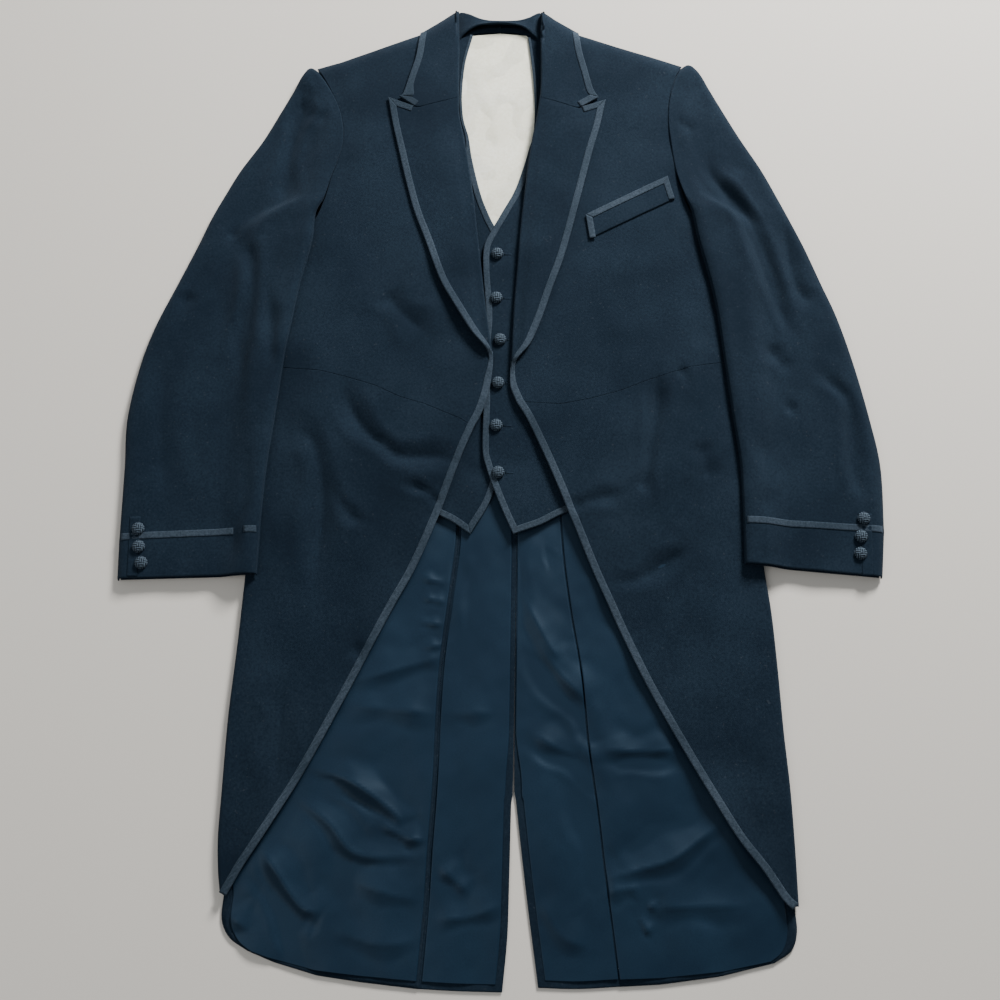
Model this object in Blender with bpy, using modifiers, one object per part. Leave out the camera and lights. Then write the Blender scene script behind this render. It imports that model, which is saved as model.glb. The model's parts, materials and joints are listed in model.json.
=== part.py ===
"""Morning suit: a tail coat, worn open over a waistcoat, laid flat on its back with its front up.

Sides are the wearer's, so the left of the suit lies at +X. The collar points to +Y and the face to +Z.
All tables are in millimetres. Every pattern piece is a sheet between four edges, with a wall of its
own cloth, and each sheet lies on the pieces beneath it.
"""
import math

import bpy
from mathutils import Vector
from mathutils.bvhtree import BVHTree

MM = 0.001
SEAM = 0.3
HALF_SEAM = SEAM / 2

# Walls of cloth
WOOL = 1.8
CHEST_WOOL = 2.4
COLLAR_WOOL = 2.2
LAPEL_WOOL = 2.0
VEST_WOOL = 1.8
WELT_WOOL = 1.6
SATIN = 1.0
COTTON = 1.0
BRAID = 1.0
BRAID_WIDTH = 8.5

# Heights of the layers above the surface that the suit lies on
LINING_LEVEL = 2.1
VEST_BACK_LEVEL = 3.5
VEST_UNDER_LEVEL = 4.9
VEST_OVER_LEVEL = 8.5
SIDE_HEIGHT = 7.6
CHEST_HEIGHT = 14.4
SKIRT_HEIGHT = 8.4
SHOULDER_EDGE_HEIGHT = 5.2
SHOULDER_ROLL = 20.0
ARMHOLE_DROP = 1.6
ARMHOLE_REACH = 30.0
SIDE_REACH = 72.0
FOLDS_REACH = 40.0
SKIRT_LEVEL_Y = -150.0
CHEST_LEVEL_Y = 20.0
FOLD_RADIUS = SIDE_HEIGHT / 2
SIDE_SEAM_INSET = 27.0
SLEEVE_LOFT = 3.5
SLEEVE_DROP = 20.0
SLEEVE_ROUND = 5.0
SLEEVE_REST_GAP = 0.5
SLEEVE_GAP = 0.7
SLEEVE_REACH = 8.0
SEWN = 0.5
LEAST_REST = 0.15
MOST_REST = 0.5
FALL_SHARE = 0.45
NEAR_ROUND_SHARE = 0.4
FAR_ROUND_SHARE = 0.75
LAPEL_LEG = 5.2
LAPEL_END_LEG = 4.4
LAPEL_END = 4.0
LEG_GAP = 0.8
LEG_REACH = 8.0
COLLAR_LEG = 15.0
GORGE_TURN = 30.0
NECK_INSET = 8.0
LAPEL_LIFT = 1.4
LAPEL_LIFT_END = 0.35
LAPEL_CURL = 4.0
LAPEL_CURL_START = 0.45
LAPEL_CURL_END = 0.9
COLLAR_REACH = 1.5
COLLAR_FOLD_INSET = 10.0
BRAID_START = 2.0
WELT_BAND = 7.0
WELT_REACH = 8.0
LINING_TOP = -20.0
LINING_INSET = 7.0
LINING_SIDE_INSET = 9.0
BACK_SHOULDER_INSET = 3.0

# Buttons
BUTTON_RADIUS = 6.8
BUTTON_HEIGHT = 5.0
BUTTON_SIDES = 14

# Edges of the coat. Each row is a point on the edge: x, y.
COAT = {
    "left": {
        "side": 1,
        "roll": ((48, 538), (47, 492), (47, 452), (46, 425), (41, 390), (37, 371), (32, 339), (28, 305),
                 (23, 261), (19, 210), (15, 160), (13, 118), (12, 96)),
        "gorge": (46, 419),
        "notch": (89, 404),
        "lapel_peak": (120, 415),
        "lapel_outer": ((120, 415), (113, 383), (104, 351), (96, 319), (86, 280), (71, 223), (57, 182),
                        (44, 143), (32, 115), (20, 96)),
        "collar_corner": (112, 419),
        "collar_outer": ((91, 507), (94, 481), (100, 455), (106, 430), (112, 419)),
        "shoulder": ((48, 538), (92, 508), (139, 491), (185, 475), (211, 466)),
        "armhole": ((211, 466), (201, 444), (194, 415), (192, 390), (194, 360), (198, 327), (205, 298),
                    (215, 270), (227, 251), (240, 243)),
        "side_fold": ((267, 241), (267, 184), (267, 125), (269, 97), (269, 56), (269, -11), (271, -77),
                      (272, -125), (277, -175), (280, -235), (282, -294), (285, -350), (286, -405),
                      (286, -459)),
        "fore_edge": ((12, 96), (11, 80), (12, 66), (18, 50)),
        "front_edge": ((18, 50), (31, 27), (54, -25), (76, -81), (99, -140), (141, -236), (185, -319),
                       (227, -391), (253, -426), (270, -452)),
        "waist_seam": ((18, 50), (40, 49), (64, 48), (96, 54), (128, 63), (161, 76), (204, 90), (240, 97),
                       (265, 98)),
        "back_seam": ((191, 330), (167, 270), (127, 205), (89, 130), (64, 57)),
        "pleat": ((64, 57), (63, -33), (65, -104), (72, -169), (82, -235), (88, -307), (95, -364),
                  (102, -432), (113, -531)),
        "hem_corner": ((286, -459), (284, -482), (277, -499), (260, -510)),
        "hem": ((260, -510), (208, -522), (152, -529), (113, -531)),
        "tail_hem": ((113, -531), (74, -533), (36, -532)),
        "vent": ((0, 514), (9, 297), (16, 57), (17, -92), (14, -331), (16, -364), (25, -446), (36, -532)),
        "pleat_gap": 0.6,
    },
    "right": {
        "side": -1,
        "roll": ((-48, 539), (-47, 492), (-47, 452), (-47, 425), (-46, 396), (-40, 364), (-34, 326),
                 (-29, 290), (-25, 250), (-20, 203), (-15, 156), (-11, 126), (-8, 107)),
        "gorge": (-47, 419),
        "notch": (-94, 405),
        "lapel_peak": (-127, 418),
        "lapel_outer": ((-127, 418), (-121, 384), (-113, 348), (-105, 313), (-95, 275), (-82, 239),
                        (-66, 193), (-49, 160), (-31, 130), (-17, 108)),
        "collar_corner": (-114, 420),
        "collar_outer": ((-92, 508), (-96, 475), (-103, 448), (-110, 424), (-114, 420)),
        "shoulder": ((-48, 539), (-92, 509), (-139, 490), (-185, 471), (-212, 463)),
        "armhole": ((-212, 463), (-196, 434), (-182, 400), (-178, 366), (-184, 338), (-190, 318),
                    (-196, 292), (-206, 266), (-220, 250), (-237, 243)),
        "side_fold": ((-265, 241), (-265, 184), (-264, 125), (-262, 94), (-260, 56), (-258, -11),
                      (-259, -77), (-262, -133), (-266, -206), (-271, -279), (-273, -350), (-274, -394),
                      (-272, -425), (-269, -446)),
        "fore_edge": ((-8, 107), (-8, 92), (-10, 76), (-13, 60), (-20, 38), (-28, 22)),
        "front_edge": ((-28, 22), (-42, -12), (-65, -76), (-88, -130), (-111, -173), (-147, -245),
                       (-172, -294), (-199, -344), (-226, -388), (-246, -419), (-256, -437)),
        "waist_seam": ((-28, 22), (-42, 31), (-80, 48), (-107, 56), (-134, 69), (-166, 79), (-193, 86),
                       (-226, 90), (-258, 93)),
        "back_seam": ((-177, 330), (-159, 270), (-119, 205), (-74, 130), (-41, 57)),
        "pleat": ((-41, 57), (-41, -33), (-44, -104), (-52, -169), (-59, -229), (-62, -284), (-64, -344),
                  (-68, -405), (-71, -460), (-77, -533)),
        "hem_corner": ((-269, -446), (-267, -470), (-258, -487), (-240, -499)),
        "hem": ((-240, -499), (-215, -509), (-173, -521), (-131, -527), (-77, -533)),
        "tail_hem": ((-77, -533), (-38, -535), (2, -536)),
        "vent": ((0, 514), (9, 297), (16, 57), (17, -92), (13, -331), (11, -364), (9, -432), (7, -486),
                 (2, -536)),
        "pleat_gap": 2.4,
    },
}

# The back's edge from the shoulder seam to the middle of the neck, outwards from the centre: x, y
BACK_NECK = ((52, 532), (44, 524), (24, 515))

# Soft folds of the coat fronts. Columns: start x, y, end x, y, half width, rise (a trough is negative).
COAT_FOLDS = (
    (-166, 72, -130, 8, 24, -2.6),
    (-130, 8, -60, -12, 24, -2.8),
    (-200, 30, -187, -121, 22, -2.0),
    (-126, 181, -82, 124, 24, -1.6),
    (168, 84, 152, -30, 22, -2.6),
    (150, -40, 84, -64, 22, -2.2),
    (190, -111, 118, -144, 24, -1.6),
    (-236, -300, -222, -380, 30, 1.2),
    (258, -330, 262, -420, 30, 1.6),
)

# Folds of the satin where the tails open. Columns as above.
LINING_FOLDS = (
    (-156, -250, -60, -222, 18, 1.8),
    (-190, -333, -78, -396, 18, 2.4),
    (-200, -362, -138, -412, 18, 1.8),
    (-226, -416, -196, -458, 20, 1.6),
    (22, -214, 74, -290, 16, 1.4),
    (34, -316, 90, -352, 16, 1.4),
    (104, -434, 204, -386, 22, 1.8),
    (142, -458, 232, -456, 22, 1.4),
)

# Sleeves. A row is one section, from the armhole to the cuff; the third and second last are the edges of
# the cuff braid. Columns: inner x, y, outer x, y, the x as far as the sleeve rests on the body, the
# lowest height there, and how far it is sewn to the armhole.
SLEEVES = {
    "left": (
        (212, 464, 221, 468, 215, 0.6, 0.6),
        (202, 446, 236, 447, 210, 3.0, 0.7),
        (194, 415, 252, 415, 206, 4.6, 1.0),
        (193, 378, 272, 375, 205, 4.6, 1.0),
        (197, 335, 295, 333, 209, 4.6, 1.0),
        (204, 300, 311, 298, 216, 8.0, 0.9),
        (213, 272, 324, 268, 238, 12.0, 0.5),
        (219, 236, 338, 234, 269, 9.5, 0.1),
        (229, 192, 353, 192, 269, 8.2, 0.0),
        (236, 150, 368, 150, 269, 8.2, 0.0),
        (241, 95, 382, 95, 270, 8.2, 0.0),
        (247, 31, 394, 33, 271, 8.2, 0.0),
        (252, -20, 401, -20, 272, 8.2, 0.0),
        (252, -75, 399, -84, 273, 8.2, 0.0),
        (252, -83.5, 398.4, -92.5, 273, 8.2, 0.0),
        (251, -125, 393, -138, 274, 8.2, 0.0),
    ),
    "right": (
        (-214, 461, -222, 464, -217, 0.6, 0.6),
        (-199, 438, -234, 442, -207, 3.0, 0.7),
        (-184, 404, -251, 407, -196, 4.6, 1.0),
        (-180, 366, -270, 369, -192, 4.6, 1.0),
        (-190, 329, -293, 332, -202, 4.6, 1.0),
        (-197, 298, -308, 302, -209, 8.0, 0.9),
        (-205, 270, -322, 272, -230, 12.0, 0.5),
        (-207, 236, -335, 238, -267, 9.5, 0.1),
        (-217, 192, -354, 192, -267, 8.2, 0.0),
        (-226, 140, -375, 141, -266, 8.2, 0.0),
        (-233, 90, -388, 95, -264, 8.2, 0.0),
        (-239, 31, -397, 35, -262, 8.2, 0.0),
        (-245, -25, -395.5, -20, -261, 8.2, 0.0),
        (-248, -85, -394.5, -92, -262, 8.2, 0.0),
        (-248, -93.5, -394.4, -100.5, -262, 8.2, 0.0),
        (-249, -136, -393, -140, -265, 8.2, 0.0),
    ),
}

# Waistcoat. Each row is a point on the edge: x, y.
VEST = {
    "left": {
        "opening": ((33, 505), (37, 469), (39, 442), (40, 406), (38, 376), (33, 357), (28, 338), (17, 304),
                    (2, 274), (-8, 255), (-17, 234), (-18, 206), (-16, 175), (-13, 146), (-14, 100),
                    (-17, 54), (-18, 0), (-14, -21), (-6, -45), (3, -68), (14, -93)),
        "outer": ((150, 470), (163, 420), (172, 350), (190, 290), (220, 250), (226, 150), (220, 60),
                  (228, -30)),
        "shoulder": ((33, 505), (90, 490), (150, 470)),
        "hem": ((14, -93), (41, -83), (64, -71), (104, -55), (168, -37), (228, -30)),
    },
    "right": {
        "opening": ((-32, 508), (-40, 475), (-43, 449), (-44, 422), (-42, 396), (-36, 373), (-32, 344),
                    (-22, 300), (-12, 272), (-3, 250), (3, 210), (4, 140), (4, 55), (3, -1), (-9, -52),
                    (-31, -92)),
        "outer": ((-150, 470), (-163, 420), (-170, 350), (-186, 290), (-218, 250), (-222, 150), (-216, 60),
                  (-222, -30)),
        "shoulder": ((-32, 508), (-90, 492), (-150, 470)),
        "hem": ((-31, -92), (-57, -75), (-105, -56), (-168, -38), (-222, -30)),
    },
}
VEST_BACK = ((-150, 469), (-163, 420), (-170, 350), (-186, 290), (-216, 250), (-220, 150), (-214, 60),
             (-220, -20), (-60, -24), (60, -24), (226, -20), (218, 60), (224, 150), (218, 250), (190, 290),
             (172, 350), (163, 420), (150, 469), (90, 491), (40, 508), (0, 512), (-40, 508), (-90, 491))
VEST_LAP_END = 24.0
VEST_LAP_FALL = 60.0
VEST_LAP_LOW = 275.0
VEST_LAP_HIGH = 320.0

# Neck band of the waistcoat, and the fold and the inner lip of the coat's stand. Columns: x, y.
NECK_BAND_OUTER = ((-41, 509), (-34, 515), (-20, 518.5), (0, 519), (20, 518.5), (34, 514), (40, 508))
NECK_BAND_INNER = ((-33, 508.6), (-29, 511), (-18, 512.6), (0, 513), (18, 512.6), (29, 510), (33.5, 506))
NECK_BAND_RISE = 0.6
STAND_FOLD = ((-46.5, 539), (-35, 536), (-23, 531), (-12, 528.5), (0, 528), (12, 528), (23, 529), (35, 532),
              (46.5, 538))
STAND_LIP = ((-46.3, 504), (-38, 513), (-28, 519.5), (-14, 522.4), (0, 522.6), (14, 522.2), (26, 519), (36, 512),
             (46.3, 502))
STAND_HEIGHT = 8.4
STAND_LIP_HEIGHT = 11.6
STAND_DEPTH = 7.0
STAND_WALL = 2.4

# Centres of the buttons. Columns: x, y.
VEST_BUTTONS = ((-3, 225), (-4, 172), (0, 123), (-2, 73), (-4, 25), (-2, -27))
CUFF_BUTTONS = {"left": ((377, -77), (373, -96), (371, -114)),
                "right": ((-374, -88), (-372, -107), (-368, -124))}

# Breast welt on the left chest. Columns: x, y.
WELT_CORNERS = ((95, 270), (188, 319), (195, 290), (99, 241))

# Counts of rows and columns in the sheets
SHOULDER_ROWS = (0.0, 0.008, 0.022, 0.045, 0.085)
CHEST_ROWS = 16
SIDE_ROWS = 5
SKIRT_ROWS = 16
CORNER_ROWS = 3
FRONT_COLUMNS = 9
SIDE_COLUMNS = 2
UNDER_COLUMNS = 5
WRAP_STEPS = 4
LAPEL_ROWS = 12
COLLAR_TOP_ROWS = (0.0, 0.03, 0.09, 0.18)
COLLAR_ROWS = 5
LINING_ROWS = 14
LINING_COLUMNS = 6
BACK_LINING_COLUMNS = 4
VEST_ROWS = 17
VEST_COLUMNS = 6
WELT_COLUMNS = 6
RESTING_COLUMNS = 4
NECK_BAND_STEPS = 12
STAND_STEPS = 2

# Columns of a lapel and a collar, as shares of the width: the last band carries the braid
LAPEL_STATIONS = (0.0, 0.2, 0.4, 0.6, 0.9, 1.0)
COLLAR_STATIONS = (0.0, 0.3, 0.6, 0.88, 1.0)
NOTCH_STATION = 0.6

# Start of the rays that feel for the cloth beneath, in metres
RAY_START = 1.0

COLOURS = {
    "navy_wool": ((0.014, 0.028, 0.045), 0.85),
    "navy_braid": ((0.045, 0.065, 0.085), 0.7),
    "navy_satin": ((0.022, 0.045, 0.075), 0.4),
    "cream_cotton": ((0.82, 0.80, 0.68), 0.75),
    "covered_button": ((0.030, 0.045, 0.062), 0.6),
}


def clear_scene():
    for old in list(bpy.data.objects):
        bpy.data.objects.remove(old, do_unlink=True)


def make_material(name):
    colour, roughness = COLOURS[name]
    material = bpy.data.materials.new(name)
    material.use_nodes = True
    shader = material.node_tree.nodes["Principled BSDF"]
    shader.inputs["Base Color"].default_value = (*colour, 1.0)
    shader.inputs["Roughness"].default_value = roughness
    return material


def smooth_step(low, high, value):
    t = min(1.0, max(0.0, (value - low) / (high - low)))
    return t * t * (3 - 2 * t)


def mix(a, b, t):
    return a + (b - a) * t


def mix_points(a, b, t):
    return tuple(mix(p, q, t) for p, q in zip(a, b))


def rounded(points, steps=8):
    """The points joined by a smooth curve through all of them."""
    first = mix_points(points[0], points[1], -1.0)
    last = mix_points(points[-1], points[-2], -1.0)
    padded = (first, *points, last)
    curve = [points[0]]
    for a, b, c, d in zip(padded, padded[1:], padded[2:], padded[3:]):
        for step in range(1, steps + 1):
            t = step / steps
            curve.append(tuple(
                0.5 * (2 * q + (r - p) * t + (2 * p - 5 * q + 4 * r - s) * t ** 2
                       + (3 * q - p - 3 * r + s) * t ** 3)
                for p, q, r, s in zip(a, b, c, d)))
    return curve


def along(points):
    """A function from 0 to 1 that gives the point at that fraction of a polyline's length."""
    lengths = [0.0]
    for a, b in zip(points, points[1:]):
        lengths.append(lengths[-1] + math.dist(a, b))

    def at(t):
        goal = min(1.0, max(0.0, t)) * lengths[-1]
        for i in range(1, len(points)):
            if goal <= lengths[i] or i == len(points) - 1:
                step = (goal - lengths[i - 1]) / max(lengths[i] - lengths[i - 1], 1e-9)
                return mix_points(points[i - 1], points[i], min(1.0, step))
        return points[-1]
    return at


def edge(points):
    return along(rounded(points))


def bent(points, stations):
    """Straight runs between points, each reached at its own fraction."""
    def at(t):
        for i in range(1, len(points)):
            if t <= stations[i] or i == len(points) - 1:
                step = (t - stations[i - 1]) / (stations[i] - stations[i - 1])
                return mix_points(points[i - 1], points[i], step)
        return points[-1]
    return at


def part_of(function, start, end):
    return lambda t: function(mix(start, end, t))


def x_at(points, y):
    """The x where a line that runs down the body passes a height y on it."""
    for a, b in zip(points, points[1:]):
        if min(a[1], b[1]) <= y <= max(a[1], b[1]) and a[1] != b[1]:
            return mix(a[0], b[0], (y - a[1]) / (b[1] - a[1]))
    return points[0][0] if y > points[0][1] else points[-1][0]


def y_at(points, x):
    """The y where a line that runs outwards over the body passes an x on it."""
    for a, b in zip(points, points[1:]):
        if abs(a[0]) <= abs(x) <= abs(b[0]):
            return mix(a[1], b[1], (abs(x) - abs(a[0])) / (abs(b[0]) - abs(a[0])))
    return points[0][1] if abs(x) < abs(points[0][0]) else points[-1][1]


def fractions(count, length, first=0.0, last=0.0):
    """Even fractions of a length, with a first and a last step of a set size where they are given."""
    low = min(0.4, first / length) if first else 0.0
    high = 1 - min(0.4, last / length) if last else 1.0
    inner = count - bool(first) - bool(last)
    values = [mix(low, high, i / inner) for i in range(inner + 1)]
    return ([0.0] if first else []) + values + ([1.0] if last else [])


def between(top, bottom, inner, outer, rows, columns):
    """Points on the sheet between four edges: columns run from the inner to the outer edge."""
    corners = (inner(0), outer(0), inner(1), outer(1))
    sheet = []
    for v in rows:
        left, right = inner(v), outer(v)
        line = []
        for u in columns(math.dist(left, right)):
            up, down = top(u), bottom(u)
            line.append(tuple(
                mix(up[i], down[i], v) + mix(left[i], right[i], u)
                - mix(mix(corners[0][i], corners[1][i], u), mix(corners[2][i], corners[3][i], u), v)
                for i in (0, 1)))
        sheet.append(line)
    return sheet


def even_columns(count, first=0.0, last=0.0):
    """Columns for a row of any width, with an outer band of a set width where one is given."""
    return lambda width: fractions(count, width, first, last)


def draw_back(sheet, top=0.0, bottom=0.0, inner=0.0, outer=0.0):
    """Move the cut edges of a flat grid inwards, to leave the gap of a seam."""
    def towards(a, b, amount):
        length = math.dist(a, b)
        return mix_points(a, b, amount / length) if length else a
    if top:
        sheet[0] = [towards(a, b, top) for a, b in zip(sheet[0], sheet[1])]
    if bottom:
        sheet[-1] = [towards(a, b, bottom) for a, b in zip(sheet[-1], sheet[-2])]
    for row in sheet:
        if inner:
            row[0] = towards(row[0], row[1], inner)
        if outer:
            row[-1] = towards(row[-1], row[-2], outer)
    return sheet


def folds_at(x, y, table):
    """Rise of the soft folds at a point."""
    rise = 0.0
    for start_x, start_y, end_x, end_y, half_width, height in table:
        run_x, run_y = end_x - start_x, end_y - start_y
        length = math.hypot(run_x, run_y)
        t = ((x - start_x) * run_x + (y - start_y) * run_y) / length ** 2
        near = min(1.0, max(0.0, t))
        gap = math.hypot(x - start_x - run_x * near, y - start_y - run_y * near)
        rise += height * math.exp(-(gap / half_width) ** 2 * 2)
    return rise


def coat_height(x, y, coat):
    """Height of the coat's face: full over the waistcoat, low at the side fold and the shoulder seam."""
    across = abs(x)
    inside = abs(x_at(coat["side_fold"], y)) - FOLD_RADIUS - across
    level = mix(SKIRT_HEIGHT, CHEST_HEIGHT, smooth_step(SKIRT_LEVEL_Y, CHEST_LEVEL_Y, y))
    height = mix(SIDE_HEIGHT, level, smooth_step(0, SIDE_REACH, inside))
    height += folds_at(x, y, COAT_FOLDS) * smooth_step(0, FOLDS_REACH, inside)
    if y > coat["armhole"][-1][1]:
        to_armhole = abs(x_at(coat["armhole"], y)) - across
        height -= ARMHOLE_DROP * (1 - smooth_step(0, ARMHOLE_REACH, to_armhole))
    below = min(1.0, max(0.0, (y_at(coat["shoulder"], x) - y) / SHOULDER_ROLL))
    return mix(SHOULDER_EDGE_HEIGHT, height, math.sqrt(1 - (1 - below) ** 2))


def raise_grid(sheet, height):
    return [[(x, y, height(x, y)) for x, y in row] for row in sheet]


def heights_of(*pieces):
    """The highest face of some pieces near a point, or zero beside them."""
    bpy.context.view_layer.update()
    graph = bpy.context.evaluated_depsgraph_get()
    trees = [BVHTree.FromObject(piece, graph) for piece in pieces]
    ring = [(math.cos(step * math.pi / 4), math.sin(step * math.pi / 4)) for step in range(8)]

    def top(x, y, reach=4.0):
        best = 0.0
        for dx, dy in [(0, 0)] + [(reach * across, reach * up) for across, up in ring]:
            for tree in trees:
                hit = tree.ray_cast(Vector(((x + dx) * MM, (y + dy) * MM, RAY_START)), Vector((0, 0, -1)))[0]
                if hit:
                    best = max(best, hit.z / MM)
        return best
    return top


def sheet_mesh(name, rows, cells=None):
    """An open sheet through rows of points. A row may leave out points with None."""
    index = {}
    vertices = []
    faces = []
    used = cells or [(k, j) for k in range(len(rows) - 1) for j in range(len(rows[0]) - 1)]
    for k, j in used:
        corners = ((k, j), (k, j + 1), (k + 1, j + 1), (k + 1, j))
        if any(rows[a][b] is None for a, b in corners):
            continue
        for corner in corners:
            if corner not in index:
                index[corner] = len(vertices)
                vertices.append(Vector(rows[corner[0]][corner[1]]) * MM)
        faces.append(tuple(index[corner] for corner in corners))
    first = [vertices[i] for i in faces[0]]
    if (first[1] - first[0]).cross(first[3] - first[0]).z < 0:
        faces = [tuple(reversed(face)) for face in faces]
    mesh = bpy.data.meshes.new(name)
    mesh.from_pydata(vertices, [], faces)
    mesh.update()
    return mesh


def add_piece(name, mesh, material, smooth=True):
    piece = bpy.data.objects.new(name, mesh)
    bpy.data.collections["morning_suit"].objects.link(piece)
    mesh.materials.append(material)
    if smooth:
        mesh.shade_smooth()
    return piece


def cloth(name, rows, wall, material, cells=None):
    """A sheet of cloth whose outer face passes through the rows, with its wall on the inner side."""
    piece = add_piece(name, sheet_mesh(name, rows, cells), material)
    solid = piece.modifiers.new("wall", "SOLIDIFY")
    solid.thickness = wall * MM
    solid.offset = -1.0
    solid.use_rim = True
    return piece


def braid(name, rows, cells, material):
    """Braid on some cells of a sheet, made from the sheet's own points moved out."""
    lift = SEAM + BRAID
    raised = [[p and (p[0], p[1], p[2] + lift) for p in row] for row in rows]
    return cloth(name, raised, BRAID, material, cells)


def flat_panel(name, outline, low, wall, material):
    """A panel with one flat outline: a filled curve, as thick as the cloth."""
    curve = bpy.data.curves.new(name, "CURVE")
    curve.dimensions = "2D"
    curve.fill_mode = "BOTH"
    curve.extrude = wall / 2 * MM
    spline = curve.splines.new("POLY")
    spline.points.add(len(outline) - 1)
    for point, (x, y) in zip(spline.points, outline):
        point.co = (x * MM, y * MM, 0.0, 1.0)
    spline.use_cyclic_u = True
    panel = bpy.data.objects.new(name, curve)
    panel.location.z = (low + wall / 2) * MM
    bpy.data.collections["morning_suit"].objects.link(panel)
    curve.materials.append(material)
    return panel


def wrap(top_point, side, radius):
    """The half round of a fold, from its top to its underside."""
    x, y, z = top_point
    points = []
    for step in range(1, WRAP_STEPS + 1):
        angle = math.pi / 2 - math.pi * step / WRAP_STEPS
        points.append((x + side * radius * math.cos(angle), y, z - radius + radius * math.sin(angle)))
    return points


def side_line(coat, offset):
    """The side fold's line, moved towards the middle."""
    return [(x - coat["side"] * offset, y) for x, y in coat["side_fold"]]


def cut_line(points, start_y, end_y):
    """The stretch of a line that runs down the body between two heights on it."""
    middle = [p for p in points if end_y < p[1] < start_y]
    return [(x_at(points, start_y), start_y), *middle, (x_at(points, end_y), end_y)]


def waist_stations(coat):
    """Fractions along the waist seam: the front's columns to the side seam, then the side's."""
    total = sum(math.dist(a, b) for a, b in zip(coat["waist_seam"], coat["waist_seam"][1:]))
    seam = 1 - (SIDE_SEAM_INSET - FOLD_RADIUS) / total
    front = [u * seam for u in fractions(FRONT_COLUMNS, total * seam, first=BRAID_WIDTH)]
    side = [mix(seam, 1.0, i / SIDE_COLUMNS) for i in range(1, SIDE_COLUMNS + 1)]
    return front, side, seam


def waist_under(coat):
    """The waist seam's run on the underside, from the side fold to the back seam."""
    fold = coat["waist_seam"][-1]
    return along((fold, coat["back_seam"][-1]))


def build_backs(materials):
    """The two long backs, flat on the surface, with the centre seam, vent and pleat edges."""
    for name, coat in COAT.items():
        side = coat["side"]
        seam = [edge(coat["back_seam"])(i / SIDE_ROWS) for i in range(SIDE_ROWS + 1)]
        rows = SKIRT_ROWS + CORNER_ROWS
        pleat = [edge(coat["pleat"])(i / rows) for i in range(rows + 1)]
        armhole = [p for p in coat["armhole"] if p[1] > coat["back_seam"][0][1]]
        outer = [(x - side * SEAM, y) for x, y in (*armhole, *seam, *pleat[1:])]
        vent = [(x + side * HALF_SEAM, y) for x, y in coat["vent"]]
        neck = [(side * x, y) for x, y in BACK_NECK]
        shoulder = [(x, y - BACK_SHOULDER_INSET) for x, y in coat["shoulder"][1:-1]]
        hem = list(reversed(coat["tail_hem"][1:-1]))
        outline = [*vent, *hem, *reversed(outer), *reversed(shoulder), *neck]
        flat_panel(f"back_{name}", outline, 0.0, WOOL, materials["navy_wool"])


def side_rows(coat, start_y, end_y, count):
    """Rows of the fold between two heights: the side seam's line, the fold's top line and the fold."""
    fold = edge(cut_line(side_line(coat, FOLD_RADIUS), start_y, end_y))
    seam = edge(cut_line(side_line(coat, SIDE_SEAM_INSET), start_y, end_y))
    return fold, seam, [i / count for i in range(count + 1)]


def build_side_body(name, coat, materials):
    """The side body: round the side fold from the armpit to the waist."""
    side = coat["side"]
    armpit = coat["side_fold"][0][1]
    waist = coat["waist_seam"][-1][1]
    fold, seam, rows = side_rows(coat, armpit, waist, SIDE_ROWS)
    share = waist_stations(coat)[-1]
    lower_edge = part_of(along(coat["waist_seam"]), share, 1.0)
    upper = between(along((seam(0), fold(0))), lower_edge, seam, fold, rows, even_columns(SIDE_COLUMNS))
    back = edge(coat["back_seam"])
    lower = between(along((fold(0), back(0))), waist_under(coat), fold, back, rows,
                    even_columns(UNDER_COLUMNS))
    draw_back(upper, top=HALF_SEAM, bottom=HALF_SEAM, inner=HALF_SEAM)
    draw_back(lower, top=HALF_SEAM, bottom=HALF_SEAM, outer=HALF_SEAM)
    sheet = []
    for high, low in zip(upper, lower):
        top = [(x, y, coat_height(x, y, coat)) for x, y in high[:-1]]
        top.append((*high[-1], SIDE_HEIGHT))
        sheet.append(top + wrap(top[-1], side, FOLD_RADIUS) + [(x, y, 0.0) for x, y in low[1:]])
    return cloth(f"side_body_{name}", sheet, WOOL, materials["navy_wool"])


def skirt_edges(coat):
    """The four edges of a skirt's underside: waist, hem, side fold with its round corner, and pleat."""
    waist = coat["waist_seam"][-1][1]
    end = coat["side_fold"][-1][1]
    fold = edge(cut_line(side_line(coat, FOLD_RADIUS), waist, end))
    corner = edge([(x - coat["side"] * FOLD_RADIUS, y) for x, y in coat["hem_corner"]])
    share = SKIRT_ROWS / (SKIRT_ROWS + CORNER_ROWS)

    def down(v):
        return fold(v / share) if v <= share else corner((v - share) / (1 - share))
    hem = along([corner(1), *coat["hem"][1:]])
    return waist_under(coat), hem, down, edge(coat["pleat"])


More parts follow.
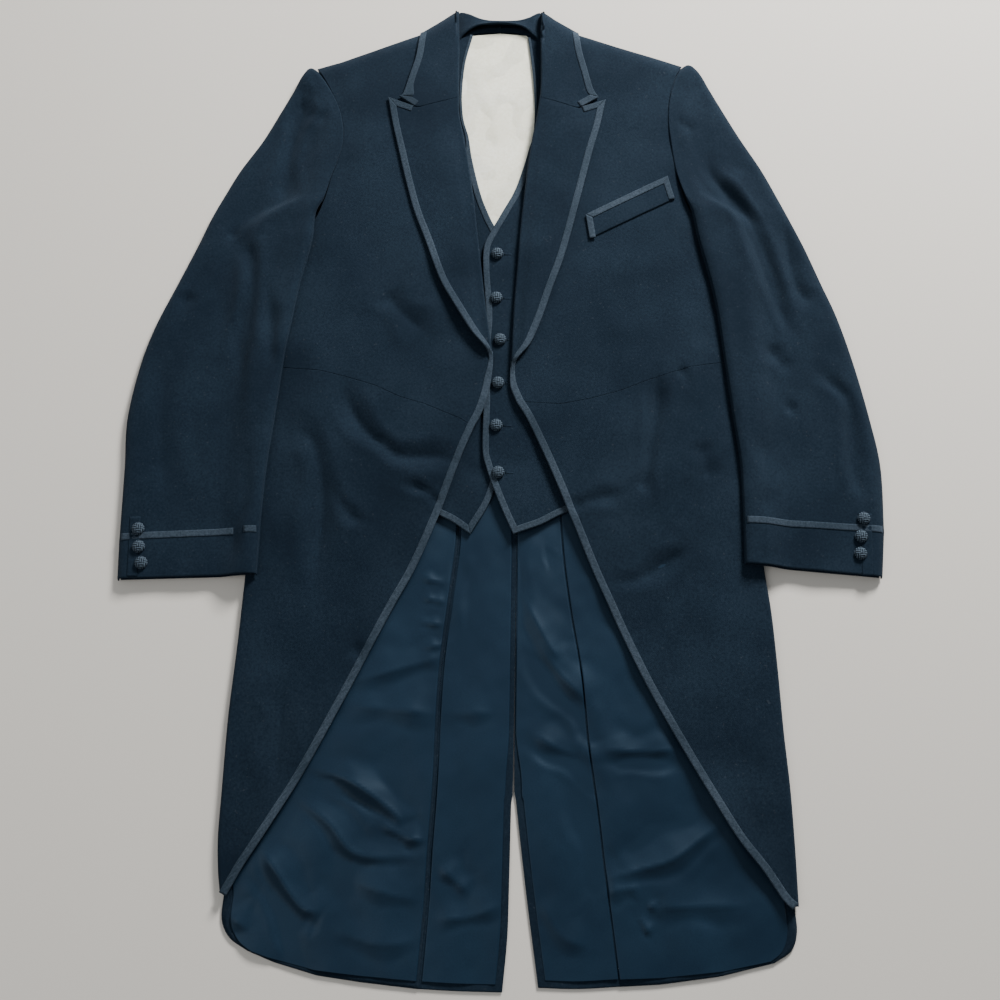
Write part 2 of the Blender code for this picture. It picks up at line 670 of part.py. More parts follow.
def build_skirt(name, coat, materials):
    """The skirt: from the cutaway front edge round the side fold to the pleat, with its round corner."""
    side = coat["side"]
    waist = coat["waist_seam"][-1][1]
    end = coat["side_fold"][-1][1]
    fold = edge(cut_line(side_line(coat, FOLD_RADIUS), waist, end))
    front, across, _ = waist_stations(coat)
    stations = front + across
    front_edge = edge(coat["front_edge"])
    rows = [i / SKIRT_ROWS for i in range(SKIRT_ROWS + 1)]

    def columns(width):
        first = min(0.45, BRAID_WIDTH / width)
        spread = (1 - first) / (1 - stations[1])
        return [0.0] + [first + (u - stations[1]) * spread for u in stations[1:]]
    upper = between(along(coat["waist_seam"]), along((front_edge(1), fold(1))), front_edge, fold, rows, columns)
    count = SKIRT_ROWS + CORNER_ROWS
    lower = between(*skirt_edges(coat), [i / count for i in range(count + 1)], even_columns(UNDER_COLUMNS))
    draw_back(upper, top=HALF_SEAM)
    draw_back(lower, top=HALF_SEAM, outer=HALF_SEAM)
    sheet = []
    top_rows = []
    for k, low in enumerate(lower):
        under = [(x, y, 0.0) for x, y in low]
        if k <= SKIRT_ROWS:
            top = [(x, y, coat_height(x, y, coat)) for x, y in upper[k][:-1]]
            top.append((*upper[k][-1], SIDE_HEIGHT))
            top_rows.append(top)
            sheet.append(top + wrap(top[-1], side, FOLD_RADIUS) + under[1:])
        else:
            blank = [None] * (len(stations) + WRAP_STEPS - 1)
            sheet.append(blank + under)
    skirt = cloth(f"skirt_{name}", sheet, WOOL, materials["navy_wool"])
    braid(f"braid_skirt_{name}", top_rows, [(k, 0) for k in range(SKIRT_ROWS)], materials["navy_braid"])
    return skirt


def neck_line(coat):
    """The forepart's edge under the lapel and the collar, outside the roll."""
    gorge_y = coat["gorge"][1]
    line = []
    for x, y in coat["roll"][:-1]:
        leg = mix(LAPEL_LEG, COLLAR_LEG, smooth_step(gorge_y - GORGE_TURN, gorge_y, y))
        line.append((x + coat["side"] * leg, y))
    end_x, end_y = coat["roll"][-1]
    top = (line[0][0], coat["shoulder"][0][1] - NECK_INSET)
    return [top, *line[1:], (end_x + coat["side"] * LAPEL_END_LEG, end_y)]


def build_forepart(name, coat, materials):
    """The forepart: from the shoulder to the waist seam, and from the roll to the side seam."""
    inner = edge([*neck_line(coat), *coat["fore_edge"][1:]])
    waist = coat["waist_seam"][-1][1]
    seam = cut_line(side_line(coat, SIDE_SEAM_INSET), coat["side_fold"][0][1], waist)
    front, _, share = waist_stations(coat)
    waist_line = along(coat["waist_seam"])
    outer = along([*rounded(coat["armhole"]), *rounded([*seam[:-1], waist_line(share)])])
    shoulder = along([inner(0), *coat["shoulder"][1:-1], outer(0)])
    lower_rows = [mix(SHOULDER_ROWS[-1], 1.0, i / CHEST_ROWS) for i in range(1, CHEST_ROWS + 1)]
    rows = [*SHOULDER_ROWS, *lower_rows]
    stations = [u / share for u in front]

    def columns(width):
        first = BRAID_WIDTH / width
        spread = (1 - first) / (1 - stations[1])
        return [0.0] + [first + (u - stations[1]) * spread for u in stations[1:]]
    flat = between(shoulder, part_of(waist_line, 0.0, share), inner, outer, rows, columns)
    draw_back(flat, bottom=HALF_SEAM, outer=HALF_SEAM)
    sheet = raise_grid(flat, lambda x, y: coat_height(x, y, coat))
    forepart = cloth(f"forepart_{name}", sheet, CHEST_WOOL, materials["navy_wool"])
    edge_start = coat["fore_edge"][0][1]
    cells = [(k, 0) for k in range(len(sheet) - 1) if sheet[k][0][1] < edge_start - BRAID_START]
    braid(f"braid_forepart_{name}", sheet, cells, materials["navy_braid"])
    return forepart


def turned_over(flat, coat, wall, faces):
    """Rows of a lapel or collar: its face, the half round of the roll, and the leg to the forepart."""
    side = coat["side"]
    radius = (CHEST_WOOL + SEAM + wall) / 2
    neck = rounded(neck_line(coat))
    sheet = []
    face_rows = []
    for row, raised in zip(flat, faces):
        x, y = row[0]
        nearest = min(side * x_at(neck, y + step) for step in (-LEG_REACH, 0, LEG_REACH))
        leg_end = side * (nearest - LEG_GAP)
        high = coat_height(leg_end, y, coat) + SEAM + wall
        start = (x + side * radius, y, high)
        face = list(reversed([(px, py, z) for (px, py), z in zip(row[1:], raised[1:])])) + [start]
        folded = wrap(start, -side, radius)
        sheet.append(face + folded + [(leg_end, y, folded[-1][2])])
        face_rows.append(face)
    return sheet, face_rows


def build_lapel(name, coat, materials, carrier):
    """A peaked lapel, rolled over at the break and lifted at its belly and lower edge."""
    top = heights_of(carrier)
    roll = edge(cut_line(coat["roll"], coat["gorge"][1], coat["roll"][-1][1] + LAPEL_END))
    outer = edge(coat["lapel_outer"])
    peak, notch = coat["lapel_peak"], coat["notch"]
    near_peak = mix_points(peak, notch, BRAID_WIDTH / math.dist(notch, peak))
    stations = LAPEL_STATIONS
    gorge = bent((roll(0), notch, near_peak, peak), (0.0, NOTCH_STATION, *stations[-2:]))

    def columns(width):
        band = max(NOTCH_STATION, 1 - BRAID_WIDTH / width)
        return [u * band / stations[-2] for u in stations[:-1]] + [1.0]
    length = math.dist(roll(0), roll(1))
    first = BRAID_WIDTH / length
    rows = [0.0] + [mix(first, 1.0, i / LAPEL_ROWS) for i in range(LAPEL_ROWS + 1)]
    flat = between(gorge, along((roll(1), outer(1))), roll, outer, rows, columns)
    flat[0] = [gorge(u) for u in stations]
    draw_back(flat, top=SEAM)
    faces = []
    for v, row in zip(rows, flat):
        belly = LAPEL_LIFT * smooth_step(0.0, LAPEL_LIFT_END, v)
        curl = LAPEL_CURL * smooth_step(LAPEL_CURL_START, LAPEL_CURL_END, v)
        faces.append([max(top(x, y), coat_height(x, y, coat)) + SEAM + LAPEL_WOOL
                      + belly * math.sin(math.pi * u) + curl * u ** 2 for (x, y), u in zip(row, stations)])
    sheet, face_rows = turned_over(flat, coat, LAPEL_WOOL, faces)
    lapel = cloth(f"lapel_{name}", sheet, LAPEL_WOOL, materials["navy_wool"])
    cells = [(k, 0) for k in range(len(sheet) - 1)] + [(0, 1)]
    braid(f"braid_lapel_{name}", face_rows, cells, materials["navy_braid"])
    return lapel


def build_collar(name, coat, materials, carrier):
    """A collar's fall over the shoulder, from the shoulder line to the gorge and the notch."""
    side = coat["side"]
    top = heights_of(carrier)
    corner = (coat["shoulder"][0][0], coat["shoulder"][0][1] + COLLAR_REACH)
    fold = edge([corner, *cut_line(coat["roll"], coat["shoulder"][0][1] - COLLAR_FOLD_INSET, coat["gorge"][1])])
    outer = edge(coat["collar_outer"])
    notch, end = coat["notch"], coat["collar_corner"]
    near_end = mix_points(end, notch, BRAID_WIDTH / math.dist(notch, end))
    stations = COLLAR_STATIONS
    gorge = bent((fold(1), notch, near_end, end), (0.0, NOTCH_STATION, *stations[-2:]))
    shoulder = along((fold(0), outer(0)))

    def columns(width):
        band = 1 - BRAID_WIDTH / width
        return [u * band / stations[-2] for u in stations[:-1]] + [1.0]
    length = math.dist(fold(0), fold(1))
    last = 1 - BRAID_WIDTH / length
    lower_rows = [mix(COLLAR_TOP_ROWS[-1], last, i / COLLAR_ROWS) for i in range(1, COLLAR_ROWS + 1)]
    rows = [*COLLAR_TOP_ROWS, *lower_rows, 1.0]
    flat = between(shoulder, gorge, fold, outer, rows, columns)
    flat[-1] = [gorge(u) for u in stations]
    draw_back(flat, bottom=SEAM)
    faces = [[max(top(x, y), coat_height(x, y, coat)) + SEAM + COLLAR_WOOL for x, y in row] for row in flat]
    sheet, face_rows = turned_over(flat, coat, COLLAR_WOOL, faces)
    collar = cloth(f"collar_{name}", sheet, COLLAR_WOOL, materials["navy_wool"])
    count = len(sheet) - 1
    cells = [(k, 0) for k in range(count)] + [(count - 1, 1)]
    braid(f"braid_collar_{name}", face_rows, cells, materials["navy_braid"])
    return collar


def build_stand(materials):
    """The stand round the back of the neck: from its inner lip to the fold, and round it to its foot."""
    radius = STAND_HEIGHT / 2
    sheet = []
    for (x, y), lip in zip(rounded(STAND_FOLD, STAND_STEPS), rounded(STAND_LIP, STAND_STEPS)):
        start = (x, y - radius, STAND_HEIGHT)
        folded = []
        for step in range(1, WRAP_STEPS + 1):
            angle = math.pi / 2 - math.pi * step / WRAP_STEPS
            folded.append((x, start[1] + radius * math.cos(angle), radius + radius * math.sin(angle)))
        sheet.append([(*lip, STAND_LIP_HEIGHT), start, *folded, (x, y - STAND_DEPTH, 0.0)])
    return cloth("collar_stand", sheet, STAND_WALL, materials["navy_wool"])


def build_linings(name, coat, materials):
    """Satin inside the tails: on the skirt's underside, and between the pleat and the vent."""
    side = coat["side"]
    waist, hem, fold, pleat = skirt_edges(coat)
    length = math.dist(pleat(0), pleat(1))
    start = (pleat(0)[1] - LINING_TOP) / length
    rows = [mix(start, 1 - LINING_INSET / length, i / LINING_ROWS) for i in range(LINING_ROWS + 1)]

    def columns(width):
        inner, outer = LINING_SIDE_INSET / width, 1 - coat["pleat_gap"] / width
        return [mix(inner, outer, i / LINING_COLUMNS) for i in range(LINING_COLUMNS + 1)]

    def height(x, y):
        return LINING_LEVEL + SATIN + folds_at(x, y, LINING_FOLDS)
    flat = between(waist, hem, fold, pleat, rows, columns)
    cloth(f"skirt_lining_{name}", raise_grid(flat, height), SATIN, materials["navy_satin"])

    inner = edge(cut_line(coat["pleat"], LINING_TOP, coat["pleat"][-1][1]))
    outer = edge(cut_line(coat["vent"], LINING_TOP, coat["vent"][-1][1]))
    rows = [i / LINING_ROWS * (1 - LINING_INSET / length) for i in range(LINING_ROWS + 1)]

    def back_columns(width):
        first, last = coat["pleat_gap"] / width, 1 - LINING_INSET / width
        return [mix(first, last, i / BACK_LINING_COLUMNS) for i in range(BACK_LINING_COLUMNS + 1)]
    flat = between(along((inner(0), outer(0))), edge(coat["tail_hem"]), inner, outer, rows, back_columns)
    cloth(f"back_lining_{name}", raise_grid(flat, height), SATIN, materials["navy_satin"])


def build_waistcoat(materials):
    """The waistcoat: a cotton back, two braided fronts that lap in the middle, and a neck band."""
    flat_panel("waistcoat_back", VEST_BACK, VEST_BACK_LEVEL, COTTON, materials["cream_cotton"])
    under_top = None
    for name in ("right", "left"):
        table = VEST[name]
        opening, outer = edge(table["opening"]), edge(table["outer"])
        length = sum(math.dist(a, b) for a, b in zip(table["opening"], table["opening"][1:]))
        rows = fractions(VEST_ROWS, length, last=BRAID_WIDTH)
        flat = between(along(table["shoulder"]), edge(table["hem"]), opening, outer, rows,
                       even_columns(VEST_COLUMNS, first=BRAID_WIDTH))
        sheet = []
        for row in flat:
            line = []
            for x, y in row:
                low = VEST_UNDER_LEVEL
                if under_top:
                    lap = 1 - smooth_step(VEST_LAP_END, VEST_LAP_FALL, x)
                    lap *= 1 - smooth_step(VEST_LAP_LOW, VEST_LAP_HIGH, y)
                    low = max(mix(low, VEST_OVER_LEVEL, lap), under_top(x, y) + SEAM)
                line.append((x, y, low + VEST_WOOL))
            sheet.append(line)
        front = cloth(f"waistcoat_front_{name}", sheet, VEST_WOOL, materials["navy_wool"])
        last = len(sheet) - 2
        cells = [(k, 0) for k in range(last + 1)] + [(last, 1), (last, 2)]
        front_braid = braid(f"braid_waistcoat_{name}", sheet, cells, materials["navy_braid"])
        under_top = heights_of(front, front_braid)
    band = []
    outer, inner = edge(NECK_BAND_OUTER), edge(NECK_BAND_INNER)
    low = VEST_UNDER_LEVEL + VEST_WOOL
    for step in range(NECK_BAND_STEPS + 1):
        high, near = outer(step / NECK_BAND_STEPS), inner(step / NECK_BAND_STEPS)
        band.append([(*high, low + NECK_BAND_RISE), (*mix_points(high, near, 0.5), low + NECK_BAND_RISE / 2),
                     (*near, low)])
    cloth("waistcoat_neck_band", band, VEST_WOOL, materials["navy_wool"])
    return front, front_braid


def build_sleeve(name, coat, materials, carriers):
    """A sleeve pressed flat: its under half rests on the body and the floor, its top half lies over it."""
    side = coat["side"]
    top = heights_of(*carriers)
    armhole = rounded(coat["armhole"])
    under = []
    over = []
    for inner_x, inner_y, outer_x, outer_y, rest_x, lowest, sewn in SLEEVES[name]:
        if sewn >= SEWN:
            inner_x = side * max(side * inner_x, side * x_at(armhole, inner_y) + 2 * SEAM)
        width = abs(outer_x - inner_x)
        rest = min(MOST_REST, max(LEAST_REST, (rest_x - inner_x) / (outer_x - inner_x)))
        down = min(rest + SLEEVE_DROP / width, mix(rest, 1.0, FALL_SHARE))
        first = min(SLEEVE_ROUND / width, rest * NEAR_ROUND_SHARE)
        last = max(1 - SLEEVE_ROUND / width, mix(down, 1.0, FAR_ROUND_SHARE))
        stations = (0.0, first, mix(first, rest, 0.5), rest, down, mix(down, last, 0.5), last, 1.0)
        lofts = (sewn, max(sewn, 0.5), max(sewn, 0.9), 1.0, 1.0, 1.0, 0.6, 0.0)
        under_row, over_row = [], []
        for column, (u, loft) in enumerate(zip(stations, lofts)):
            x, y = mix(inner_x, outer_x, u), mix(inner_y, outer_y, u)
            low = lowest if column < RESTING_COLUMNS else 0.0
            if sewn < SEWN:
                beneath = top(x, y, SLEEVE_REACH)
                low = max(low, beneath + SLEEVE_REST_GAP if beneath else 0.0)
            under_row.append((x, y, low + WOOL))
            over_row.append((x, y, low + WOOL + SLEEVE_GAP + WOOL + SLEEVE_LOFT * loft))
        under.append(under_row)
        over.append(over_row)
    cloth(f"under_sleeve_{name}", under, WOOL, materials["navy_wool"])
    sleeve = cloth(f"top_sleeve_{name}", over, WOOL, materials["navy_wool"])
    cells = [(len(over) - 3, j) for j in range(len(over[0]) - 1)]
    cuff_braid = braid(f"braid_cuff_{name}", over, cells, materials["navy_braid"])
    return sleeve, cuff_braid


def build_welt(materials, carrier):
    """The braided welt of the breast pocket, laid on the left forepart."""
    top = heights_of(carrier)
    high_inner, high_outer, low_outer, low_inner = WELT_CORNERS
    height = math.dist(high_inner, low_inner)
    flat = between(along((high_inner, high_outer)), along((low_inner, low_outer)),
                   along((high_inner, low_inner)), along((high_outer, low_outer)),
                   fractions(2, height, first=WELT_BAND), even_columns(WELT_COLUMNS, WELT_BAND, WELT_BAND))
    sheet = raise_grid(flat, lambda x, y: top(x, y, WELT_REACH) + SEAM + WELT_WOOL)
    cloth("breast_welt", sheet, WELT_WOOL, materials["navy_wool"])
    cells = [(0, j) for j in range(WELT_COLUMNS)] + [(1, 0), (1, WELT_COLUMNS - 1)]
    braid("braid_breast_welt", sheet, cells, materials["navy_braid"])


def button_mesh(material):
    """A domed button covered with cloth: its profile, turned."""
    profile = ((0.0, 1.0), (0.5, 0.93), (0.84, 0.66), (1.0, 0.3), (0.9, 0.0), (0.0, 0.0))
    mesh = bpy.data.meshes.new("covered_button")
    points = [(r * BUTTON_RADIUS * MM, 0.0, z * BUTTON_HEIGHT * MM) for r, z in profile]
    mesh.from_pydata(points, [(i, i + 1) for i in range(len(points) - 1)], [])
    mesh.materials.append(material)
    return mesh


def add_button(name, mesh, x, y, carriers):
    button = bpy.data.objects.new(name, mesh)
    bpy.data.collections["morning_suit"].objects.link(button)
    button.location = Vector((x, y, heights_of(*carriers)(x, y, BUTTON_RADIUS) + SEAM)) * MM
    turned = button.modifiers.new("turned", "SCREW")
    turned.steps = turned.render_steps = BUTTON_SIDES
    turned.use_merge_vertices = True
    turned.merge_threshold = 0.00001


def centre(collection):
    """Put the origin at the bottom centre of the suit's box."""
    bpy.context.view_layer.update()
    graph = bpy.context.evaluated_depsgraph_get()
    points = []
    for piece in collection.objects:
        final = piece.evaluated_get(graph)
        points += [final.matrix_world @ vertex.co for vertex in final.to_mesh().vertices]
        final.to_mesh_clear()
    for axis in (0, 1):
        middle = (min(p[axis] for p in points) + max(p[axis] for p in points)) / 2
        for piece in collection.objects:
            piece.location[axis] -= middle


def main():
    clear_scene()
    collection = bpy.data.collections.new("morning_suit")
    bpy.context.scene.collection.children.link(collection)
    materials = {name: make_material(name) for name in COLOURS}
    build_backs(materials)
    vest_front = build_waistcoat(materials)
    button = button_mesh(materials["covered_button"])
    for number, (x, y) in enumerate(VEST_BUTTONS, 1):
        add_button(f"waistcoat_button_{number}", button, x, y, vest_front)
    for name, coat in COAT.items():
        side_body = build_side_body(name, coat, materials)
        skirt = build_skirt(name, coat, materials)
        forepart = build_forepart(name, coat, materials)
        build_linings(name, coat, materials)
        build_lapel(name, coat, materials, forepart)
        build_collar(name, coat, materials, forepart)
        cuff = build_sleeve(name, coat, materials, (side_body, skirt, forepart))
        for number, (x, y) in enumerate(CUFF_BUTTONS[name], 1):
            add_button(f"cuff_button_{name}_{number}", button, x, y, cuff)
        if name == "left":
            build_welt(materials, forepart)
    build_stand(materials)
    centre(collection)


main()
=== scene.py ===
"""Looks of the morning suit: every cloth is a fine sheet on the form of its solid, with its creases.

Lengths are in millimetres in the tables and in the functions, and in metres in the meshes. Sides are the
wearer's, so the left of the suit is at +X and on the photo's right. The suit's tables follow those of the
solids. Creases are placed by the photo's pixels, which photo_point turns into points on the suit.
"""
import json
import math

import bpy
import numpy as np
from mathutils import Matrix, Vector
from mathutils.bvhtree import BVHTree


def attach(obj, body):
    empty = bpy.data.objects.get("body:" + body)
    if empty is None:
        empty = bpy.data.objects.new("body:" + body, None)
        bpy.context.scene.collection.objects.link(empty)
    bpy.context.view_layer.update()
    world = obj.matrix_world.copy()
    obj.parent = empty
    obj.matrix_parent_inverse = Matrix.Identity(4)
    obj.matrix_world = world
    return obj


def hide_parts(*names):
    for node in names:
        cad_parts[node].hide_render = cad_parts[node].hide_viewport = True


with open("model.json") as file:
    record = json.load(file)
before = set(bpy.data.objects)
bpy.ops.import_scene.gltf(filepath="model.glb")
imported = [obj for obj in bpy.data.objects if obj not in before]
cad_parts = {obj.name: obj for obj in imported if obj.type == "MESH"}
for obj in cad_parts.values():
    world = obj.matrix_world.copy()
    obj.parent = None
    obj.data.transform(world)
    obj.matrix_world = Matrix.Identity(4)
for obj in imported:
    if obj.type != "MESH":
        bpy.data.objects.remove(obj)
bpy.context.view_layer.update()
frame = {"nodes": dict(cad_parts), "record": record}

MM = 0.001
TINY = 1e-9
# The solids are centred on their box, which moves every table by this much: x, y, z
SHIFT = np.array((-2.0, -2.25, 0.0))

# The photo's camera: focal length in pixels, lean from straight down, height, place along the suit
FOCAL = 1200.0
LEAN = math.radians(15.5)
CAMERA_HEIGHT = 1214.4
CAMERA_Y = -391.0
PHOTO_MIDDLE = 500.0
SENSOR = 36.0

# Walls of the solids and of the fine sheets, and the gap between layers
SEAM = 0.3
WOOL = 1.8
CHEST_WOOL = 2.4
COLLAR_WOOL = 2.2
LAPEL_WOOL = 2.0
STAND_WOOL = 2.0
VEST_WOOL = 1.8
WELT_WOOL = 1.6
SATIN = 1.0
COTTON = 1.0
SLEEVE_WALL = 1.3
SATIN_WALL = 0.7
COTTON_WALL = 0.6
BUTTON_WALL = 0.5
BUTTONHOLE_WALL = 0.3
THIN_SHARE = 0.8

# Levels that layers rest on
LINING_LEVEL = 2.1
VEST_BACK_LEVEL = 3.5
VEST_UNDER_LEVEL = 4.9
VEST_OVER_LEVEL = 8.5

# The coat's face: its heights, and the places and distances over which they change
SIDE_HEIGHT = 7.6
CHEST_HEIGHT = 14.4
SKIRT_HEIGHT = 8.4
CHEST_RISE = (-150.0, 20.0)
SIDE_REACH = 72.0
SIDE_CALM = 25.0
SHOULDER_EDGE_HEIGHT = 5.2
SHOULDER_ROLL = 20.0
ARMHOLE_DROP = 1.6
ARMHOLE_REACH = 30.0
ARMHOLE_RISE = 50.0
FRONT_LIFT = (-280.0, -380.0)
FRONT_LIFT_REACH = 22.0

# The side fold, the underside and the backs
FOLD_RADIUS = SIDE_HEIGHT / 2
FOLD_BLEND = 18.0
SIDE_SEAM_INSET = 27.0
UNDERSIDE_LIFT = 0.3
UNDERSIDE_START = 3.0
SIDE_COLUMNS = 16
SKIRT_COLUMNS = 24
CORNER_ROWS = 16
CORNER_TURN = (1.0, 0.2, 0.0, 0.0)
BACK_NECK = ((24, 527), (40, 534), (50, 536))
BACK_NECK_RISE = 12.0
BACK_SHOULDER_DROP = 3.0

# Sleeves
SLEEVE_LOFT = 5.6
SLEEVE_ROUND = 11.0
SLEEVE_DROP = 30.0
SLEEVE_REST_GAP = 0.6
SLEEVE_EDGE = 2.1
SLEEVE_EDGE_SHARE = 0.3
SLEEVE_GAP = 0.7
SLEEVE_SINK = -4.4
SLEEVE_CALM = 14.0
SLEEVE_LEAST = 1.5
SLEEVE_MARGIN = 0.4
BODY_MARGIN = 1.0
ARMPIT_RISE = 25.0
SEWN_LOW = (0.1, 0.9)
SEWN_EDGE = (0.45, 0.9)
SEWN_RADIUS = 1.4
SEWN_REACH = 20.0
HEAD_DROP = 4.6
HEAD_ROUND = 18.0
CUFF_ROWS = (0.9965, 0.9985, 0.9995, 1.0)
CUFF_LAP = 11.0

# Lapels and collars
LAPEL_LEG = 5.2
LAPEL_END_LEG = 4.4
LAPEL_END = 0.5
LAPEL_TIP = 5.2
LAPEL_RUN_OUT = 16.0
LAPEL_JOIN = 3.0
LAPEL_CLEAR = 0.5
LAPEL_BELLY = 1.6
LAPEL_BELLY_RISE = 0.35
LAPEL_CURL_RISE = (0.45, 0.88)
LAPEL_CURL_END = (0.93, 1.0)
LAPEL_ROLL_GAPS = (0.0, 2.9, 4.6)
LAPEL_GORGE_BRAID = 0.86
COLLAR_END_BRAID = 0.86
COLLAR_LEG = 15.0
COLLAR_REACH = 3.0
COLLAR_START = 10
COLLAR_CLEAR = 0.4
COLLAR_ROLL_GAPS = (0.0, 3.0, 5.0)
GORGE_STATIONS = (0.0, 0.6, 1.0)
GORGE_BLEND = 30.0
NECK_DROP = 8
LEG_SCAN = (-8.0, 0.0, 8.0)
LEG_GAP = 0.8
ROLL_BLEND = 14.0
ROLL_CLEAR = 0.4

# Satin in the tails
LINING_TOP = -20.0
LINING_INSET = 7.0
LINING_SIDE_INSET = 9.0
LINING_SINK = -0.9
VENT_BLEND = (-290.0, -345.0)
SATIN_PLANE = 2.2
SATIN_RISE = 1.25

# Edges of the coat. Each row is a point on the edge: x, y.
COAT = {
    "left": {
        "side": 1,
        "roll": ((48, 538), (47, 492), (47, 452), (46, 425), (41, 390), (37, 371), (32, 339), (28, 305),
                 (23, 261), (19, 210), (15, 160), (13, 118), (12, 96)),
        "gorge": (46, 419),
        "notch": (89, 404),
        "lapel_peak": (120, 415),
        "lapel_outer": ((120, 415), (113, 383), (104, 351), (96, 319), (86, 280), (71, 223), (57, 182),
                        (44, 143), (32, 115), (20, 96)),
        "lapel_curl": 3.0,
        "collar_corner": (112, 419),
        "collar_outer": ((91, 507), (94, 481), (100, 455), (106, 430), (112, 419)),
        "shoulder": ((48, 538), (92, 508), (139, 491), (185, 475), (211, 466)),
        "armhole": ((211, 466), (201, 444), (194, 415), (192, 390), (194, 360), (198, 327), (205, 298),
                    (215, 270), (227, 251), (240, 243)),
        "side_fold": ((267, 241), (267, 184), (267, 125), (269, 97), (269, 56), (269, -11), (271, -77),
                      (272, -125), (277, -175), (280, -235), (282, -294), (285, -350), (286, -405),
                      (286, -459)),
        "fore_edge": ((12, 96), (11, 80), (12, 66), (18, 50)),
        "front_edge": ((18, 50), (31, 27), (54, -25), (76, -81), (99, -140), (141, -236), (185, -319),
                       (227, -391), (253, -426), (270, -452), (279, -461)),
        "front_lift": 3.2,
        "waist_seam": ((18, 50), (40, 49), (64, 48), (96, 54), (128, 63), (161, 76), (204, 90), (240, 97),
                       (265, 98)),
        "back_seam": ((191, 330), (167, 270), (127, 205), (89, 130), (64, 57)),
        "pleat": ((64, 57), (63, -33), (65, -104), (72, -169), (82, -235), (88, -307), (95, -364),
                  (102, -432), (113, -531)),
        "hem_corner": ((286, -459), (284, -482), (277, -499), (260, -510)),
        "hem": ((260, -510), (208, -522), (152, -529), (113, -531)),
        "tail_hem": ((113, -531), (74, -533), (36, -532)),
        "vent": ((0, 514), (9, 297), (16, 57), (17, -92), (14, -331), (16, -364), (25, -446), (36, -532)),
        "pleat_gap": 0.6,
        "vent_gap": 1.2,
        "cuff_runs": ((0.02, 0.985),),
        "cuff_lap": ((382, -138), (386, -72)),
    },
    "right": {
        "side": -1,
        "roll": ((-48, 539), (-47, 492), (-47, 452), (-47, 425), (-46, 396), (-40, 364), (-34, 326),
                 (-29, 290), (-25, 250), (-20, 203), (-15, 156), (-11, 126), (-8, 107)),
        "gorge": (-47, 419),
        "notch": (-94, 405),
        "lapel_peak": (-127, 418),
        "lapel_outer": ((-127, 418), (-121, 384), (-113, 348), (-105, 313), (-95, 275), (-82, 239),
                        (-66, 193), (-49, 160), (-31, 130), (-17, 108)),
        "lapel_curl": 5.0,
        "collar_corner": (-114, 420),
        "collar_outer": ((-92, 508), (-96, 475), (-103, 448), (-110, 424), (-114, 420)),
        "shoulder": ((-48, 539), (-92, 509), (-139, 490), (-185, 471), (-212, 463)),
        "armhole": ((-212, 463), (-196, 434), (-182, 400), (-178, 366), (-184, 338), (-190, 318),
                    (-196, 292), (-206, 266), (-220, 250), (-237, 243)),
        "side_fold": ((-265, 241), (-265, 184), (-264, 125), (-262, 94), (-260, 56), (-258, -11),
                      (-259, -77), (-262, -133), (-266, -206), (-271, -279), (-273, -350), (-274, -394),
                      (-272, -425), (-269, -446)),
        "fore_edge": ((-8, 107), (-8, 92), (-10, 76), (-13, 60), (-20, 38), (-28, 22)),
        "front_edge": ((-28, 22), (-42, -12), (-65, -76), (-88, -130), (-111, -173), (-147, -245),
                       (-172, -294), (-199, -344), (-226, -388), (-246, -419), (-256, -437), (-262.5, -449)),
        "front_lift": 1.2,
        "waist_seam": ((-28, 22), (-42, 31), (-80, 48), (-107, 56), (-134, 69), (-166, 79), (-193, 86),
                       (-226, 90), (-258, 93)),
        "back_seam": ((-177, 330), (-159, 270), (-119, 205), (-74, 130), (-41, 57)),
        "pleat": ((-41, 57), (-41, -33), (-44, -104), (-52, -169), (-59, -229), (-62, -284), (-64, -344),
                  (-68, -405), (-71, -460), (-77, -533)),
        "hem_corner": ((-269, -446), (-267, -470), (-258, -487), (-240, -499)),
        "hem": ((-240, -499), (-215, -509), (-173, -521), (-131, -527), (-77, -533)),
        "tail_hem": ((-77, -533), (-38, -535), (2, -536)),
        "vent": ((0, 514), (9, 297), (16, 57), (17, -92), (13, -331), (11, -364), (9, -432), (7, -486),
                 (2, -536)),
        "pleat_gap": 2.4,
        "vent_gap": 4.5,
        "cuff_runs": ((0.02, 0.11), (0.19, 0.985)),
        "cuff_lap": ((-382, -139), (-384, -75)),
    },
}

